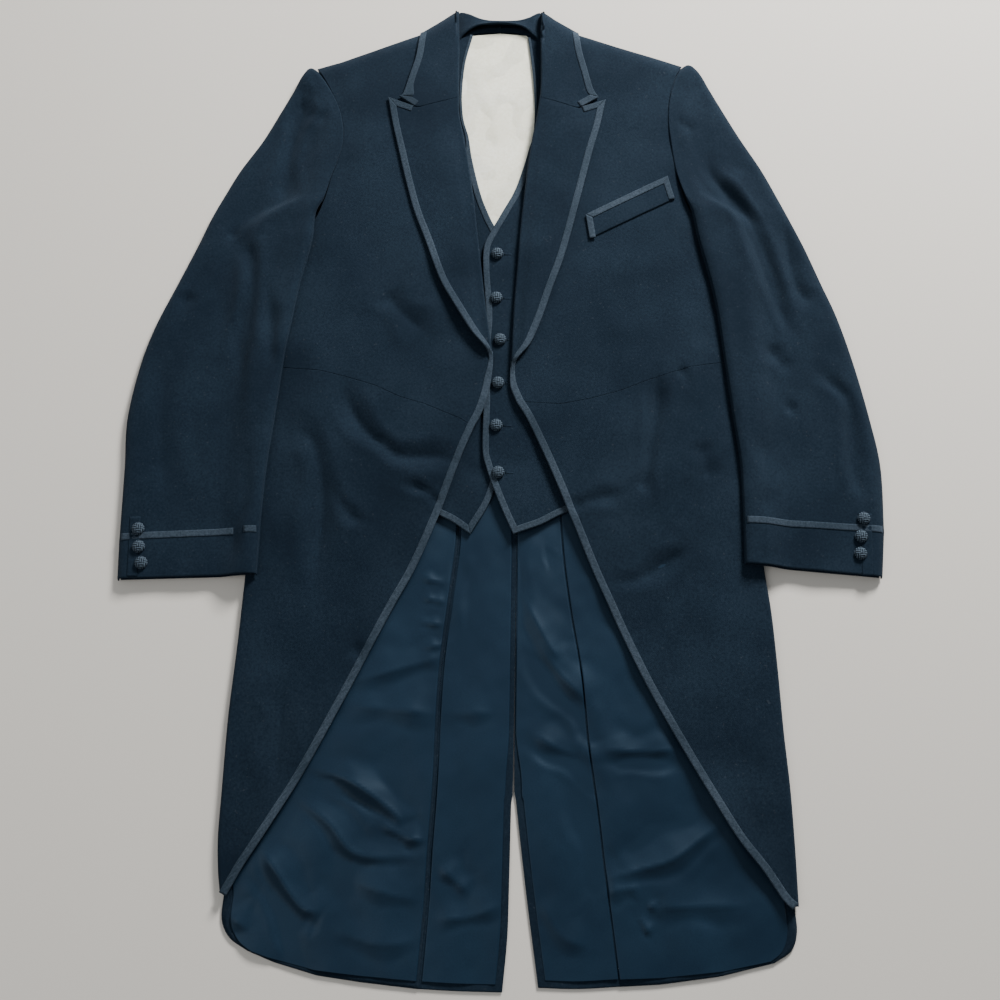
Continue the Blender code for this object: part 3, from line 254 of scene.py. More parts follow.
# Sleeves. A row is one section, from the armhole to the cuff; the third and second last are the edges of
# the cuff braid. Columns: inner x, y, outer x, y, the x as far as the sleeve rests on the body, the
# lowest height there, and how far it is sewn to the armhole.
SLEEVES = {
    "left": (
        (212, 464, 221, 468, 215, 0.6, 0.6),
        (202, 446, 236, 447, 210, 3.0, 0.7),
        (194, 415, 252, 415, 206, 4.6, 1.0),
        (193, 378, 272, 375, 205, 4.6, 1.0),
        (197, 335, 295, 333, 209, 4.6, 1.0),
        (204, 300, 311, 298, 216, 8.0, 0.9),
        (213, 272, 324, 268, 238, 12.0, 0.5),
        (219, 236, 338, 234, 269, 9.5, 0.1),
        (229, 192, 353, 192, 269, 8.2, 0.0),
        (236, 150, 368, 150, 269, 8.2, 0.0),
        (241, 95, 382, 95, 270, 8.2, 0.0),
        (247, 31, 394, 33, 271, 8.2, 0.0),
        (252, -20, 401, -20, 272, 8.2, 0.0),
        (252, -75, 399, -84, 273, 8.2, 0.0),
        (252, -83.5, 398.4, -92.5, 273, 8.2, 0.0),
        (251, -125, 393, -138, 274, 8.2, 0.0),
    ),
    "right": (
        (-214, 461, -222, 464, -217, 0.6, 0.6),
        (-199, 438, -234, 442, -207, 3.0, 0.7),
        (-184, 404, -251, 407, -196, 4.6, 1.0),
        (-180, 366, -270, 369, -192, 4.6, 1.0),
        (-190, 329, -293, 332, -202, 4.6, 1.0),
        (-197, 298, -308, 302, -209, 8.0, 0.9),
        (-205, 270, -322, 272, -230, 12.0, 0.5),
        (-207, 236, -335, 238, -267, 9.5, 0.1),
        (-217, 192, -354, 192, -267, 8.2, 0.0),
        (-226, 140, -375, 141, -266, 8.2, 0.0),
        (-233, 90, -388, 95, -264, 8.2, 0.0),
        (-239, 31, -397, 35, -262, 8.2, 0.0),
        (-245, -25, -395.5, -20, -261, 8.2, 0.0),
        (-248, -85, -394.5, -92, -262, 8.2, 0.0),
        (-248, -93.5, -394.4, -100.5, -262, 8.2, 0.0),
        (-249, -136, -393, -140, -265, 8.2, 0.0),
    ),
}

# Waistcoat. Each row is a point on the edge: x, y.
VEST = {
    "left": {
        "side": 1,
        "opening": ((33, 505), (37, 469), (39, 442), (40, 406), (38, 376), (33, 357), (28, 338), (17, 304),
                    (2, 274), (-8, 255), (-17, 234), (-18, 206), (-16, 175), (-14.8, 146), (-18, 100),
                    (-17, 54), (-18, 0), (-14, -21), (-6, -45), (3, -68), (14, -93)),
        "outer": ((150, 470), (163, 420), (172, 350), (190, 290), (220, 250), (226, 150), (220, 60),
                  (228, -30)),
        "shoulder": ((33, 505), (90, 490), (150, 470)),
        "hem": ((14, -93), (41, -83), (64, -71), (104, -55), (168, -37), (228, -30)),
    },
    "right": {
        "side": -1,
        "opening": ((-32, 508), (-40, 475), (-43, 449), (-44, 422), (-42, 396), (-36, 373), (-32, 344),
                    (-22, 300), (-12, 272), (-3, 250), (3, 210), (4, 140), (4, 55), (3, -1), (-9, -52),
                    (-31, -92)),
        "outer": ((-150, 470), (-163, 420), (-170, 350), (-186, 290), (-218, 250), (-222, 150), (-216, 60),
                  (-222, -30)),
        "shoulder": ((-32, 508), (-90, 492), (-150, 470)),
        "hem": ((-31, -92), (-57, -75), (-105, -56), (-168, -38), (-222, -30)),
    },
}
VEST_LAP_ACROSS = (24.0, 60.0)
VEST_LAP_TOP = (275.0, 320.0)
VEST_CREASE_LIMITS = (-0.9, 0.5)
VEST_HEM_BRAID = 0.42
VEST_BACK_SIDES = (((-37, 507), (-46, 470), (-54, 330), (-40, 200)),
                   ((37, 506), (46, 468), (52, 330), (36, 200)))
VEST_BACK_NECK = (0, 512)
COTTON_LIMITS = (-0.6, 1.6)
NECK_BAND_OUTER = ((-52, 500), (-41, 509.5), (-34, 515), (-20, 518.5), (0, 519), (20, 518.5), (34, 514),
                   (40, 508.5), (52, 499))
NECK_BAND_INNER = ((-38, 500), (-33, 508.6), (-29, 511), (-18, 512.6), (0, 513), (18, 512.6), (29, 510),
                   (33.5, 506), (38, 499))
NECK_BAND_COLUMNS = (0.0, 0.08, 0.2, 0.4, 0.6, 0.8, 0.92, 1.0)
NECK_BAND_RISE = 0.6
NECK_BAND_END = 0.12
NECK_BAND_END_DROP = 2.0
NECK_BAND_ROLL = 0.9

# The collar's stand round the neck. The lip's columns are the share of the way to the fold, and fall.
STAND_FOLD = ((-51, 536), (-46.5, 541), (-36, 538), (-23, 532), (-12, 529.5), (0, 529), (12, 529), (23, 530),
              (35, 534), (46.5, 540.5), (51, 535))
STAND_LIP = ((-54, 490), (-46, 503), (-39, 510), (-30, 516), (-20, 519), (0, 519.8), (18, 518.8), (29, 515),
             (37, 508), (45, 500), (54, 486))
STAND_LIP_PROFILE = ((0.10, 3.2), (0.02, 2.2), (0.0, 1.0), (0.06, 0.0))
STAND_COLUMNS = (0.3, 0.6, 0.85)
STAND_HEIGHT = 8.4
STAND_LIP_HEIGHT = 14.0
STAND_END_HEIGHT = 6.0
STAND_END_FOLD = 5.4
STAND_END = 0.16

# Middles of the buttons, and corners of the welt: x, y
VEST_BUTTONS = ((-3, 225), (-4, 172), (0, 123), (-2, 73), (-4, 25), (-2, -27))
CUFF_BUTTONS = {"left": ((377, -77), (373, -96), (371, -114)),
                "right": ((-374, -88), (-372, -107), (-368, -124))}
WELT_CORNERS = ((95, 270), (188, 319), (195, 290), (99, 241))
WELT_BAND = 7.0
WELT_ROLL = 1.4

# Low, uneven swells of the cloths. Columns: seed, length of the waves, amount.
COAT_SWELL = ((3, 74.0, 0.55), (4, 26.0, 0.12))
LINING_SWELL = ((11, 70.0, 0.75), (12, 24.0, 0.1))
STAND_SWELL = ((21, 40.0, 0.3),)
VEST_SWELL = ((31, 50.0, 0.2),)
COTTON_SWELL = ((41, 34.0, 0.3),)
SLEEVE_SWELL = ((51, 60.0, 0.5), (52, 22.0, 0.12))
SIDE_SWELL = ((61, 60.0, 0.16), (62, 22.0, 0.07))
SKIRT_SWELL = ((63, 60.0, 0.16), (64, 22.0, 0.07))
SWELL_WAVES = 7
SWELL_SPREAD = (0.7, 1.6)

# Creases. Columns: path in the photo's pixels, half width, rise (a trough is negative).
COAT_CREASES = (
    (((343, 385), (350, 405), (365, 430), (385, 445), (400, 455), (440, 456), (460, 465)), 6.8, -6.3),
    (((295, 430), (312, 440), (320, 470), (322, 500), (318, 545), (312, 590)), 8.1, -5.6),
    (((335, 490), (350, 515), (365, 520)), 4.7, -3.6),
    (((400, 483), (425, 490), (440, 505)), 3.4, -3.4),
    (((385, 290), (400, 310), (428, 335)), 8.1, -4.4),
    (((282, 690), (278, 740), (272, 790)), 8.1, -3.4),
    (((352, 640), (362, 662)), 5.4, -2.7),
    (((657, 372), (658, 400), (652, 440), (645, 480), (640, 490)), 5.4, -6.3),
    (((570, 508), (590, 500), (625, 492)), 4.7, -3.6),
    (((610, 582), (640, 577), (670, 560), (690, 547)), 6.1, -4.4),
    (((680, 365), (688, 385)), 3.4, -3),
    (((700, 440), (712, 480)), 6.8, -3),
)
LINING_CREASES = (
    (((457, 546), (452, 600), (447, 650)), 2.2, -1.3),
    (((517, 540), (520, 580), (518, 640)), 2.2, -1.1),
    (((545, 545), (549, 570)), 1.9, -0.9),
    (((422, 578), (444, 584)), 1.7, 1.3),
    (((424, 598), (445, 603)), 1.8, 1.4),
    (((420, 622), (443, 626)), 1.7, 1.3),
    (((424, 648), (446, 645)), 1.8, 1.3),
    (((347, 684), (411, 666), (443, 657)), 4.5, 2),
    (((350, 706), (435, 714)), 6, 2.2),
    (((450, 714), (495, 713)), 4.5, 1.4),
    (((311, 768), (345, 780), (370, 795), (395, 815), (403, 826)), 3.8, 3.6),
    (((318, 778), (350, 796), (385, 822)), 3.8, -1.4),
    (((380, 823), (405, 838), (425, 841)), 3, 2.7),
    (((298, 798), (330, 825), (357, 855), (423, 857)), 3.8, 3),
    (((262, 850), (275, 870), (300, 907), (322, 913)), 3.8, 3.2),
    (((302, 922), (318, 930)), 4.5, -1.4),
    (((245, 870), (280, 920), (290, 960)), 4.5, -1.6),
    (((228, 915), (248, 930)), 4.5, 2.2),
    (((439, 867), (468, 893)), 3, 2),
    (((436, 920), (470, 917), (502, 905)), 3.8, 2),
    (((470, 560), (466, 640), (458, 700)), 6.8, -1.1),
    (((520, 590), (545, 640), (560, 660)), 4.5, 2.2),
    (((520, 645), (545, 685), (575, 715), (590, 740), (608, 738)), 5.2, -2.2),
    (((535, 640), (560, 675), (590, 705)), 4.5, 2.5),
    (((525, 745), (545, 760), (570, 765), (592, 790), (598, 800)), 3.8, -1.7),
    (((530, 733), (556, 748), (580, 757)), 3.8, 1.9),
    (((600, 750), (640, 752), (680, 750)), 3.8, 2.3),
    (((610, 766), (680, 766)), 3.8, -1.7),
    (((602, 880), (640, 870), (672, 860), (700, 840), (725, 820)), 4.5, 3),
    (((605, 892), (640, 888)), 4.5, 1.9),
    (((650, 908), (745, 906)), 6, 2.3),
    (((640, 918), (652, 937)), 2, 2),
    (((648, 903), (656, 912)), 1.8, 1.6),
    (((570, 800), (590, 850), (596, 900)), 6, -1.4),
    (((540, 900), (560, 935), (590, 950)), 4.5, 1.7),
    (((330, 930), (380, 945), (420, 940)), 5.2, 1.6),
    (((350, 880), (390, 895), (418, 900)), 4.5, 1.6),
)
SLEEVE_CREASES = (
    (((303, 95), (298, 115), (290, 150), (285, 180), (280, 205)), 6.5, -7),
    (((245, 245), (252, 260), (252, 290), (248, 320), (242, 350), (240, 400)), 5.8, -7.5),
    (((236, 250), (238, 290), (232, 330)), 7.2, 3.1),
    (((270, 290), (272, 340), (275, 370)), 5.1, -4.5),
    (((306, 114), (318, 117), (330, 121)), 5.5, -1.9),
    (((237, 225), (230, 240)), 3.6, -3.1),
    (((190, 290), (180, 310)), 5.8, -3.5),
    (((250, 430), (245, 500), (235, 530), (230, 570)), 6.5, -3.9),
    (((165, 360), (160, 430), (165, 500)), 8.7, -3.1),
    (((708, 160), (712, 175), (725, 190), (740, 210), (755, 240), (765, 262), (775, 290), (785, 320),
      (797, 338)), 5.8, -7.5),
    (((722, 170), (742, 190), (765, 225)), 7.2, 3.1),
    (((785, 220), (790, 260), (800, 290), (815, 305)), 5.8, -4.4),
    (((820, 370), (835, 385), (848, 400), (853, 430), (858, 480), (863, 500)), 5.1, -5.9),
    (((785, 400), (797, 415)), 3.6, -3.1),
    (((765, 345), (790, 370)), 5.8, -3.9),
    (((760, 430), (768, 480), (765, 520)), 6.5, -3.2),
    (((674, 121), (684, 126), (696, 134)), 5.5, -1.8),
)
VEST_CREASES = (
    (((500, 466), (520, 463), (535, 462)), 6, -1.4),
    (((462, 465), (483, 475)), 6, -1.2),
    (((506, 200), (514, 240), (512, 290)), 7, -0.8),
)
COTTON_CREASES = (
    (((470, 70), (490, 110), (500, 160)), 6, 0.9),
    (((520, 60), (505, 120), (500, 190)), 7, -0.7),
    (((475, 100), (500, 95), (528, 110)), 6, 0.7),
    (((478, 150), (500, 140), (524, 150)), 6, -0.6),
    (((486, 200), (500, 190), (512, 198)), 5, 0.6),
)

# How a crease fades at the ends of its path, in shares of it, and how much it wavers on the way
CREASE_FADE_IN = (-0.02, 0.28)
CREASE_FADE_OUT = (0.72, 1.02)
CREASE_LEAST = 0.12
CREASE_WAVER = 0.22
CREASE_WAVES = 9.0
CREASE_PHASE = 1.7

# How a crease falls off beside its path, in half widths: a sharp top, a soft foot and a shallow rim
CREASE_REACH = 4.5
SHARP_SHARE = 0.65
SHARP_FALL = 1.5
FOOT_SHARE = 0.35
FOOT_WIDTH = 1.7
RIM_DEPTH = 0.2
RIM_PLACE = 2.4
RIM_WIDTH = 0.9

# Spacing of the fine sheets, counts of steps along lines, and least distances
STEP = 4.0
VEST_STEP = 5.0
WIDE_STEP = 9.0
SATIN_STEP = 2.8
EDGE_GAPS = (0.0, 0.3, 0.8, 1.6)
SHOULDER_GAPS = (0.0, 0.25, 0.7, 1.4, 2.4, 4.0, 6.5, 10.0)
EDGE_ROOM = 0.42
EDGE_SAMPLES = 90
FOLD_SAMPLES = 60
SEAM_SAMPLES = 24
PLEAT_SAMPLES = 40
CREASE_STEPS = 6
LINING_SAMPLES = 80
HEM_SAMPLES = 20
SLEEVE_SAMPLES = 14
SLEEVE_COLUMNS = 30
STAND_ROWS = 70
STAND_ANGLES = 13
NECK_BAND_ROWS = 50
WRAP_ANGLES = 9
SLEEVE_ANGLES = np.linspace(-1.2, math.pi / 2, 8)
NEAREST_POINT = 5.0
SMALLEST_CUT = 10.5

# How edges turn down: radii, and how near to upright they end
FINE_SEAM = 0.45
SEAM_ROLL = 0.8
EDGE_ROLL = 1.2
EDGE_TURN = 0.98

# Heights that a face is read from: down from over the whole suit, or else its nearest point
READ_FROM = 100.0
READ_BESIDE = 12.0

# Braids: widths, and the cross section. Columns: share of the width from the cloth's edge, fall.
LAPEL_BRAID = 7.0
FRONT_BRAID = 7.2
BREAK_BRAID = 3.8
VEST_BRAID = 6.4
NECK_BRAID = 2.8
CUFF_BRAID = 7.2
BRAID_LIFT = 0.75
BRAID_WALL = 0.6
BRAID_STEP = 2.5
BOUND_PROFILE = ((-0.07, 2.3), (-0.08, 1.2), (-0.06, 0.5), (-0.02, 0.12), (0.08, 0.0), (0.3, 0.0), (0.5, 0.1),
                 (0.7, 0.0), (0.92, 0.0), (0.98, 0.2), (1.0, 0.8))
FLAT_PROFILE = ((0.0, 0.8), (0.02, 0.2), (0.08, 0.0), (0.3, 0.0), (0.5, 0.1), (0.7, 0.0), (0.92, 0.0),
                (0.98, 0.2), (1.0, 0.8))

# Shares of a path: where its braid widens, and the run beside a corner that gives its mitre
FRONT_WIDENING = (0.0, 0.06)
LAPEL_WIDENING = (0.02, 0.16)
NECK_WIDENING = (0.20, 0.30)
MITRE_RUN = 0.02

# Buttons covered with basket-woven thread, and the worked buttonholes beside them
BUTTON_RADIUS = 6.8
BUTTON_HEIGHT = 5.0
BUTTON_RINGS = 15
BUTTON_SPOKES = 52
BUTTON_TIP = 0.002
BASKET_CELL = 4.5
BASKET_RELIEF = 0.25
BASKET_START = 1.2
BASKET_END = 0.9
BASKET_PLACE = 0.1
THREAD_SCALE = 143.0
BUTTON_PROFILE = ((0.0, 1.0), (0.5, 0.93), (0.84, 0.66), (1.0, 0.3), (0.9, 0.0))
BUTTONHOLE_START = 7.5
BUTTONHOLE_LENGTH = 8.5
BUTTONHOLE_WIDTH = 1.9
BUTTONHOLE_RISE = 0.5
BUTTONHOLE_LIFT = 0.35

# Sheen and shine of all materials, and the colour sockets of a node that mixes two
SHEEN_ROUGHNESS = 0.45
SHEEN_TINT = (0.62, 0.78, 1.0, 1.0)
SPECULAR_TINT = (0.62, 0.80, 1.0, 1.0)
FIRST_COLOUR = 6
SECOND_COLOUR = 7
MIXED_COLOUR = 2

# The studio, in metres
FLOOR_REACH = 3.0
FLOOR_Z = -0.0004
SURROUND = (0.9, 0.95, 1.0, 1.0)
SURROUND_STRENGTH = 0.34


def mix(a, b, t):
    return a + (b - a) * t


def smooth(low, high, value):
    t = np.clip((value - low) / (high - low), 0.0, 1.0)
    return t * t * (3 - 2 * t)


def quarter_round(t):
    """Rises from 0 to 1 like a quarter of a circle, steeply at its start."""
    return np.sqrt(1 - (1 - np.clip(t, 0.0, 1.0)) ** 2)


def turned_edge(gap, radius):
    """How far a rounded edge has turned down at some distance from it."""
    inside = 1 - np.clip(gap / radius, 0.0, 1.0)
    return radius * (1 - np.sqrt(1 - EDGE_TURN * inside ** 2))


def photo_point(px, py, height):
    """The point of the suit's tables that the photo shows at a pixel, at some height over the floor."""
    u, v = px - PHOTO_MIDDLE, py - PHOTO_MIDDLE
    y = CAMERA_HEIGHT * math.tan(LEAN - math.atan(v / FOCAL))
    x = CAMERA_HEIGHT * (u / FOCAL) / (math.cos(LEAN) + (v / FOCAL) * math.sin(LEAN))
    near = (CAMERA_HEIGHT - height) / CAMERA_HEIGHT
    return x * near, y * near + CAMERA_Y


def rounded(points, steps=12):
    """The points joined by a smooth curve through all of them."""
    p = np.asarray(points, float)
    p = np.vstack((2 * p[0] - p[1], p, 2 * p[-1] - p[-2]))
    t = (np.arange(steps) + 1)[:, None] / steps
    curve = [p[1:2]]
    for a, b, c, d in zip(p, p[1:], p[2:], p[3:]):
        curve.append(0.5 * (2 * b + (c - a) * t + (2 * a - 5 * b + 4 * c - d) * t ** 2
                            + (3 * b - a - 3 * c + d) * t ** 3))
    return np.vstack(curve)


def distances(points):
    """How far along a line of points each of them lies."""
    return np.concatenate(([0.0], np.cumsum(np.linalg.norm(np.diff(points, axis=0), axis=1))))


def along(points):
    """A function from 0 to 1 that gives points at fractions of a polyline's length."""
    p = np.asarray(points, float)
    lengths = distances(p)

    def at(t):
        goal = np.clip(t, 0.0, 1.0) * lengths[-1]
        return np.stack([np.interp(goal, lengths, p[:, i]) for i in range(p.shape[1])], axis=-1)
    at.length = lengths[-1]
    return at


def edge(points):
    return along(rounded(points))


def bent(points, stations):
    """Straight runs between points, each reached at its own fraction."""
    p = np.asarray(points, float)
    return lambda t: np.stack([np.interp(t, stations, p[:, i]) for i in range(2)], axis=-1)


def part_of(function, start, end):
    return lambda t: function(mix(start, end, t))


def sampled(function, count):
    return function(np.linspace(0, 1, count))


def x_at(points, y):
    """The x where a line that runs down the body passes a height y on it."""
    p = np.asarray(points, float)
    return np.interp(-np.asarray(y, float), -p[:, 1], p[:, 0])


def cut_line(points, start_y, end_y):
    """The part of a line between two heights, without points so near its ends that a curve would swing."""
    middle = [tuple(p) for p in points if end_y + NEAREST_POINT < p[1] < start_y - NEAREST_POINT]
    return [(float(x_at(points, start_y)), start_y), *middle, (float(x_at(points, end_y)), end_y)]


def spots(length, step, first=(0.0,), last=(0.0,), count=None):
    """Distances along a length: those near its first edge, even steps, and those near its last edge."""
    first, last = np.asarray(first, float), np.asarray(last, float)
    room = EDGE_ROOM * length
    first = first * min(1.0, room / max(first[-1], TINY))
    last = last * min(1.0, room / max(last[-1], TINY))
    count = count or max(1, round((length - first[-1] - last[-1]) / step))
    middle = np.linspace(first[-1], length - last[-1], count + 1)
    return np.concatenate((first[:-1], middle, (length - last[:-1])[::-1]))


def columns_for(widths, step, first=(0.0,), last=(0.0,)):
    """The same count of columns for rows of different widths, as distances from the inner edge."""
    count = max(1, round((float(np.max(widths)) - first[-1] - last[-1]) / step))
    return np.array([spots(width, step, first, last, count) for width in widths])


def coons(top, bottom, inner, outer, v, u):
    """Points between four edges, for row fractions v and column fractions u of each row."""
    row = v[:, None, None]
    col = u[..., None]
    corners = [np.asarray(c, float) for c in (inner(0.0), outer(0.0), inner(1.0), outer(1.0))]
    sides = mix(inner(v)[:, None], outer(v)[:, None], col)
    ends = mix(top(u), bottom(u), row)
    return sides + ends - mix(mix(corners[0], corners[1], col), mix(corners[2], corners[3], col), row)


def patch(top, bottom, inner, outer, step=STEP, rows=(EDGE_GAPS, EDGE_GAPS), columns=(EDGE_GAPS, EDGE_GAPS)):
    """A fine flat grid between four edges, closer spaced near them."""
    length = inner.length
    v = spots(length, step, *rows) / length
    widths = np.linalg.norm(inner(v) - outer(v), axis=1)
    u = columns_for(widths, step, *columns) / widths[:, None]
    return coons(top, bottom, inner, outer, v, u)


def plan(flat):
    return flat[..., 0], flat[..., 1]


def raise_grid(flat, height):
    return np.dstack((flat, height))


def gap_to(flat, line):
    """Distance of every point of a flat grid from a line of points."""
    best = np.full(flat.shape[:2], np.inf)
    for a, b in zip(line, line[1:]):
        run = b - a
        t = np.clip(((flat - a) @ run) / max(float(run @ run), TINY), 0.0, 1.0)
        best = np.minimum(best, np.linalg.norm(flat - a - t[..., None] * run, axis=2))
    return best


def fall_at(flat, *edges):
    """How far a sheet has turned down near its edges. Each edge is a function from 0 to 1 and a radius."""
    fall = np.zeros(flat.shape[:2])
    for line, radius in edges:
        fall = np.maximum(fall, turned_edge(gap_to(flat, sampled(line, EDGE_SAMPLES)), radius))
    return fall


def crease_lines(table, height):
    """The creases' paths as points of the suit, with their widths and rises."""
    return [(rounded([photo_point(px, py, height) for px, py in path], CREASE_STEPS), half_width, rise)
            for path, half_width, rise in table]


def crease_profile(d):
    return (SHARP_SHARE * np.exp(-SHARP_FALL * d) + FOOT_SHARE * np.exp(-(d / FOOT_WIDTH) ** 2)
            - RIM_DEPTH * np.exp(-((d - RIM_PLACE) / RIM_WIDTH) ** 2))


def relief(x, y, creases, broad=1.0):
    """Rise of soft, uneven troughs and ridges that fade at both ends, wider on the left of their paths."""
    total = np.zeros_like(x, dtype=float)
    for number, (line, half_width, rise) in enumerate(creases):
        reach = CREASE_REACH * half_width * broad
        low, high = line.min(0) - reach, line.max(0) + reach
        near = (x > low[0]) & (x < high[0]) & (y > low[1]) & (y < high[1])
        if not near.any():
            continue
        px, py = x[near], y[near]
        best = np.full(px.shape, np.inf)
        place = np.zeros(px.shape)
        spread = np.ones(px.shape)
        steps = len(line) - 1
        for i in range(steps):
            a, run = line[i], line[i + 1] - line[i]
            t = np.clip(((px - a[0]) * run[0] + (py - a[1]) * run[1]) / max(run @ run, TINY), 0.0, 1.0)
            gap = np.hypot(px - a[0] - run[0] * t, py - a[1] - run[1] * t)
            closer = gap < best
            best = np.where(closer, gap, best)
            place = np.where(closer, (i + t) / steps, place)
            left = run[0] * (py - a[1]) - run[1] * (px - a[0]) > 0
            spread = np.where(closer, np.where(left, broad, 1.0), spread)
        fade = smooth(*CREASE_FADE_IN, place) * (1 - smooth(*CREASE_FADE_OUT, place))
        uneven = 1 + CREASE_WAVER * np.sin(place * CREASE_WAVES + number * CREASE_PHASE)
        profile = crease_profile(best / (half_width * uneven * spread))
        total[near] += rise * mix(CREASE_LEAST, 1.0, fade) * uneven * profile
    return total


def ripple(x, y, seed, wave, amount):
    """A low, uneven swell from a few crossing waves."""
    rng = np.random.default_rng(seed)
    total = np.zeros_like(x, dtype=float)
    for _ in range(SWELL_WAVES):
        angle = rng.uniform(0, math.pi)
        length = wave * rng.uniform(*SWELL_SPREAD)
        phase = rng.uniform(0, 2 * math.pi)
        total += np.sin((x * math.cos(angle) + y * math.sin(angle)) * 2 * math.pi / length + phase)
    return total * amount / math.sqrt(SWELL_WAVES)


def swell(x, y, table):
    return sum(ripple(x, y, *row) for row in table)


COAT_LINES = crease_lines(COAT_CREASES, height=13.0)
LINING_LINES = crease_lines(LINING_CREASES, height=3.5)
SLEEVE_LINES = crease_lines(SLEEVE_CREASES, height=10.0)
VEST_LINES = crease_lines(VEST_CREASES, height=9.0)
COTTON_LINES = crease_lines(COTTON_CREASES, height=4.0)


def coat_height(x, y, coat):
    """Height of the coat's face: full over the waistcoat, low at the side fold and the shoulder seam."""
    across = np.abs(x)
    inside = np.abs(x_at(coat["side_fold"], y)) - FOLD_RADIUS - across
    level = mix(SKIRT_HEIGHT, CHEST_HEIGHT, smooth(*CHEST_RISE, y))
    height = mix(SIDE_HEIGHT, level, smooth(0.0, SIDE_REACH, inside))
    creases = relief(x, y, COAT_LINES) + swell(x, y, COAT_SWELL)
    height = height + creases * smooth(0.0, SIDE_CALM, inside)
    to_armhole = np.abs(x_at(coat["armhole"], y)) - across
    armpit = coat["armhole"][-1][1]
    beside = smooth(armpit, armpit + ARMHOLE_RISE, y) * (1 - smooth(0.0, ARMHOLE_REACH, to_armhole))
    height = height - ARMHOLE_DROP * beside
    to_front = across - np.abs(x_at(coat["front_edge"], y))
    lifted = smooth(*FRONT_LIFT, y) * np.exp(-(np.maximum(to_front, 0.0) / FRONT_LIFT_REACH) ** 2)
    height = height + coat["front_lift"] * lifted
    shoulder = np.abs(coat["shoulder"])
    below = np.interp(across, shoulder[:, 0], shoulder[:, 1]) - y
    return mix(SHOULDER_EDGE_HEIGHT, height, quarter_round(below / SHOULDER_ROLL))


def lining_height(x, y):
    creases = SATIN_RISE * relief(x, y, LINING_LINES, SATIN_PLANE) + swell(x, y, LINING_SWELL)
    return LINING_LEVEL + SATIN + np.maximum(creases, LINING_SINK)


def vest_height(x, y, over):
    """Height of the waistcoat's face: the left front laps over the right one in the middle."""
    level = np.full(np.shape(x), VEST_UNDER_LEVEL)
    if over:
        lap = (1 - smooth(*VEST_LAP_ACROSS, x)) * (1 - smooth(*VEST_LAP_TOP, y))
        level = mix(level, VEST_OVER_LEVEL, lap)
    creases = relief(x, y, VEST_LINES) + swell(x, y, VEST_SWELL)
    return level + VEST_WOOL + np.clip(creases, *VEST_CREASE_LIMITS)


def make_material(name, colour, roughness, sheen, specular):
    material = bpy.data.materials.new(name)
    material.use_nodes = True
    shader = material.node_tree.nodes["Principled BSDF"]
    values = {
        "Base Color": (*colour, 1.0),
        "Roughness": roughness,
        "Sheen Weight": sheen,
        "Sheen Roughness": SHEEN_ROUGHNESS,
        "Sheen Tint": SHEEN_TINT,
        "Specular IOR Level": specular,
        "Specular Tint": SPECULAR_TINT,
    }
    for key, value in values.items():
        shader.inputs[key].default_value = value
    return material, shader


def add_node(material, kind, sockets=(), **settings):
    node = material.node_tree.nodes.new(kind)
    for key, value in settings.items():
        setattr(node, key, value)
    for key, value in dict(sockets).items():
        node.inputs[key].default_value = value
    return node


def link(material, source, target):
    material.node_tree.links.new(source, target)


def noise(material, coordinates, scale, detail, roughness):
    sockets = {"Scale": scale, "Detail": detail, "Roughness": roughness}
    node = add_node(material, "ShaderNodeTexNoise", sockets)
    link(material, coordinates, node.inputs["Vector"])
    return node.outputs["Fac"]


def ramp(material, value, low, dark, high, light):
    node = add_node(material, "ShaderNodeValToRGB")
    node.color_ramp.elements[0].position = low
    node.color_ramp.elements[0].color = (*dark, 1.0)
    node.color_ramp.elements[1].position = high
    node.color_ramp.elements[1].color = (*light, 1.0)
    link(material, value, node.inputs["Fac"])
    return node.outputs["Color"]


def combine(material, operation, first, second):
    node = add_node(material, "ShaderNodeMath", operation=operation)
    link(material, first, node.inputs[0])
    link(material, second, node.inputs[1])
    return node.outputs[0]


def add_bump(material, shader, height, strength, depth):
    bump = add_node(material, "ShaderNodeBump", {"Strength": strength, "Distance": depth})
    link(material, height, bump.inputs["Height"])
    link(material, bump.outputs["Normal"], shader.inputs["Normal"])


def cloth_material(name, dark, light, roughness, sheen, specular, weave, depth, grain, lint=0.0, ribs=False):
    """Woven cloth: a mottled grain of two shades, a weave or ribs in relief and, where asked, pale lint."""
    material, shader = make_material(name, dark, roughness, sheen, specular)
    coordinates = add_node(material, "ShaderNodeTexCoord").outputs
    place = coordinates["Object"]
    fine = noise(material, place, scale=grain, detail=3.0, roughness=0.65)
    broad = noise(material, place, scale=11.0, detail=3.0, roughness=0.55)
    mottle = combine(material, "MULTIPLY", fine, broad)
    colour = ramp(material, mottle, low=0.15, dark=dark, high=0.38, light=light)
    if lint:
        specks = noise(material, place, scale=330.0, detail=1.0, roughness=0.4)
        pale = ramp(material, specks, low=0.71, dark=(0, 0, 0), high=0.79, light=(lint, lint, lint))
        both = add_node(material, "ShaderNodeMix", data_type="RGBA", blend_type="ADD")
        both.inputs["Factor"].default_value = 1.0
        link(material, colour, both.inputs[FIRST_COLOUR])
        link(material, pale, both.inputs[SECOND_COLOUR])
        colour = both.outputs[MIXED_COLOUR]
    link(material, colour, shader.inputs["Base Color"])
    height = fine
    if weave:
        for direction in ("Y",) if ribs else ("X", "Y"):
            sockets = {"Scale": weave, "Distortion": 0.8, "Detail": 1.0}
            threads = add_node(material, "ShaderNodeTexWave", sockets, bands_direction=direction)
            link(material, coordinates["UV"], threads.inputs["Vector"])
            height = combine(material, "ADD", height, threads.outputs["Fac"])
    add_bump(material, shader, height, strength=0.6, depth=depth)
    return material


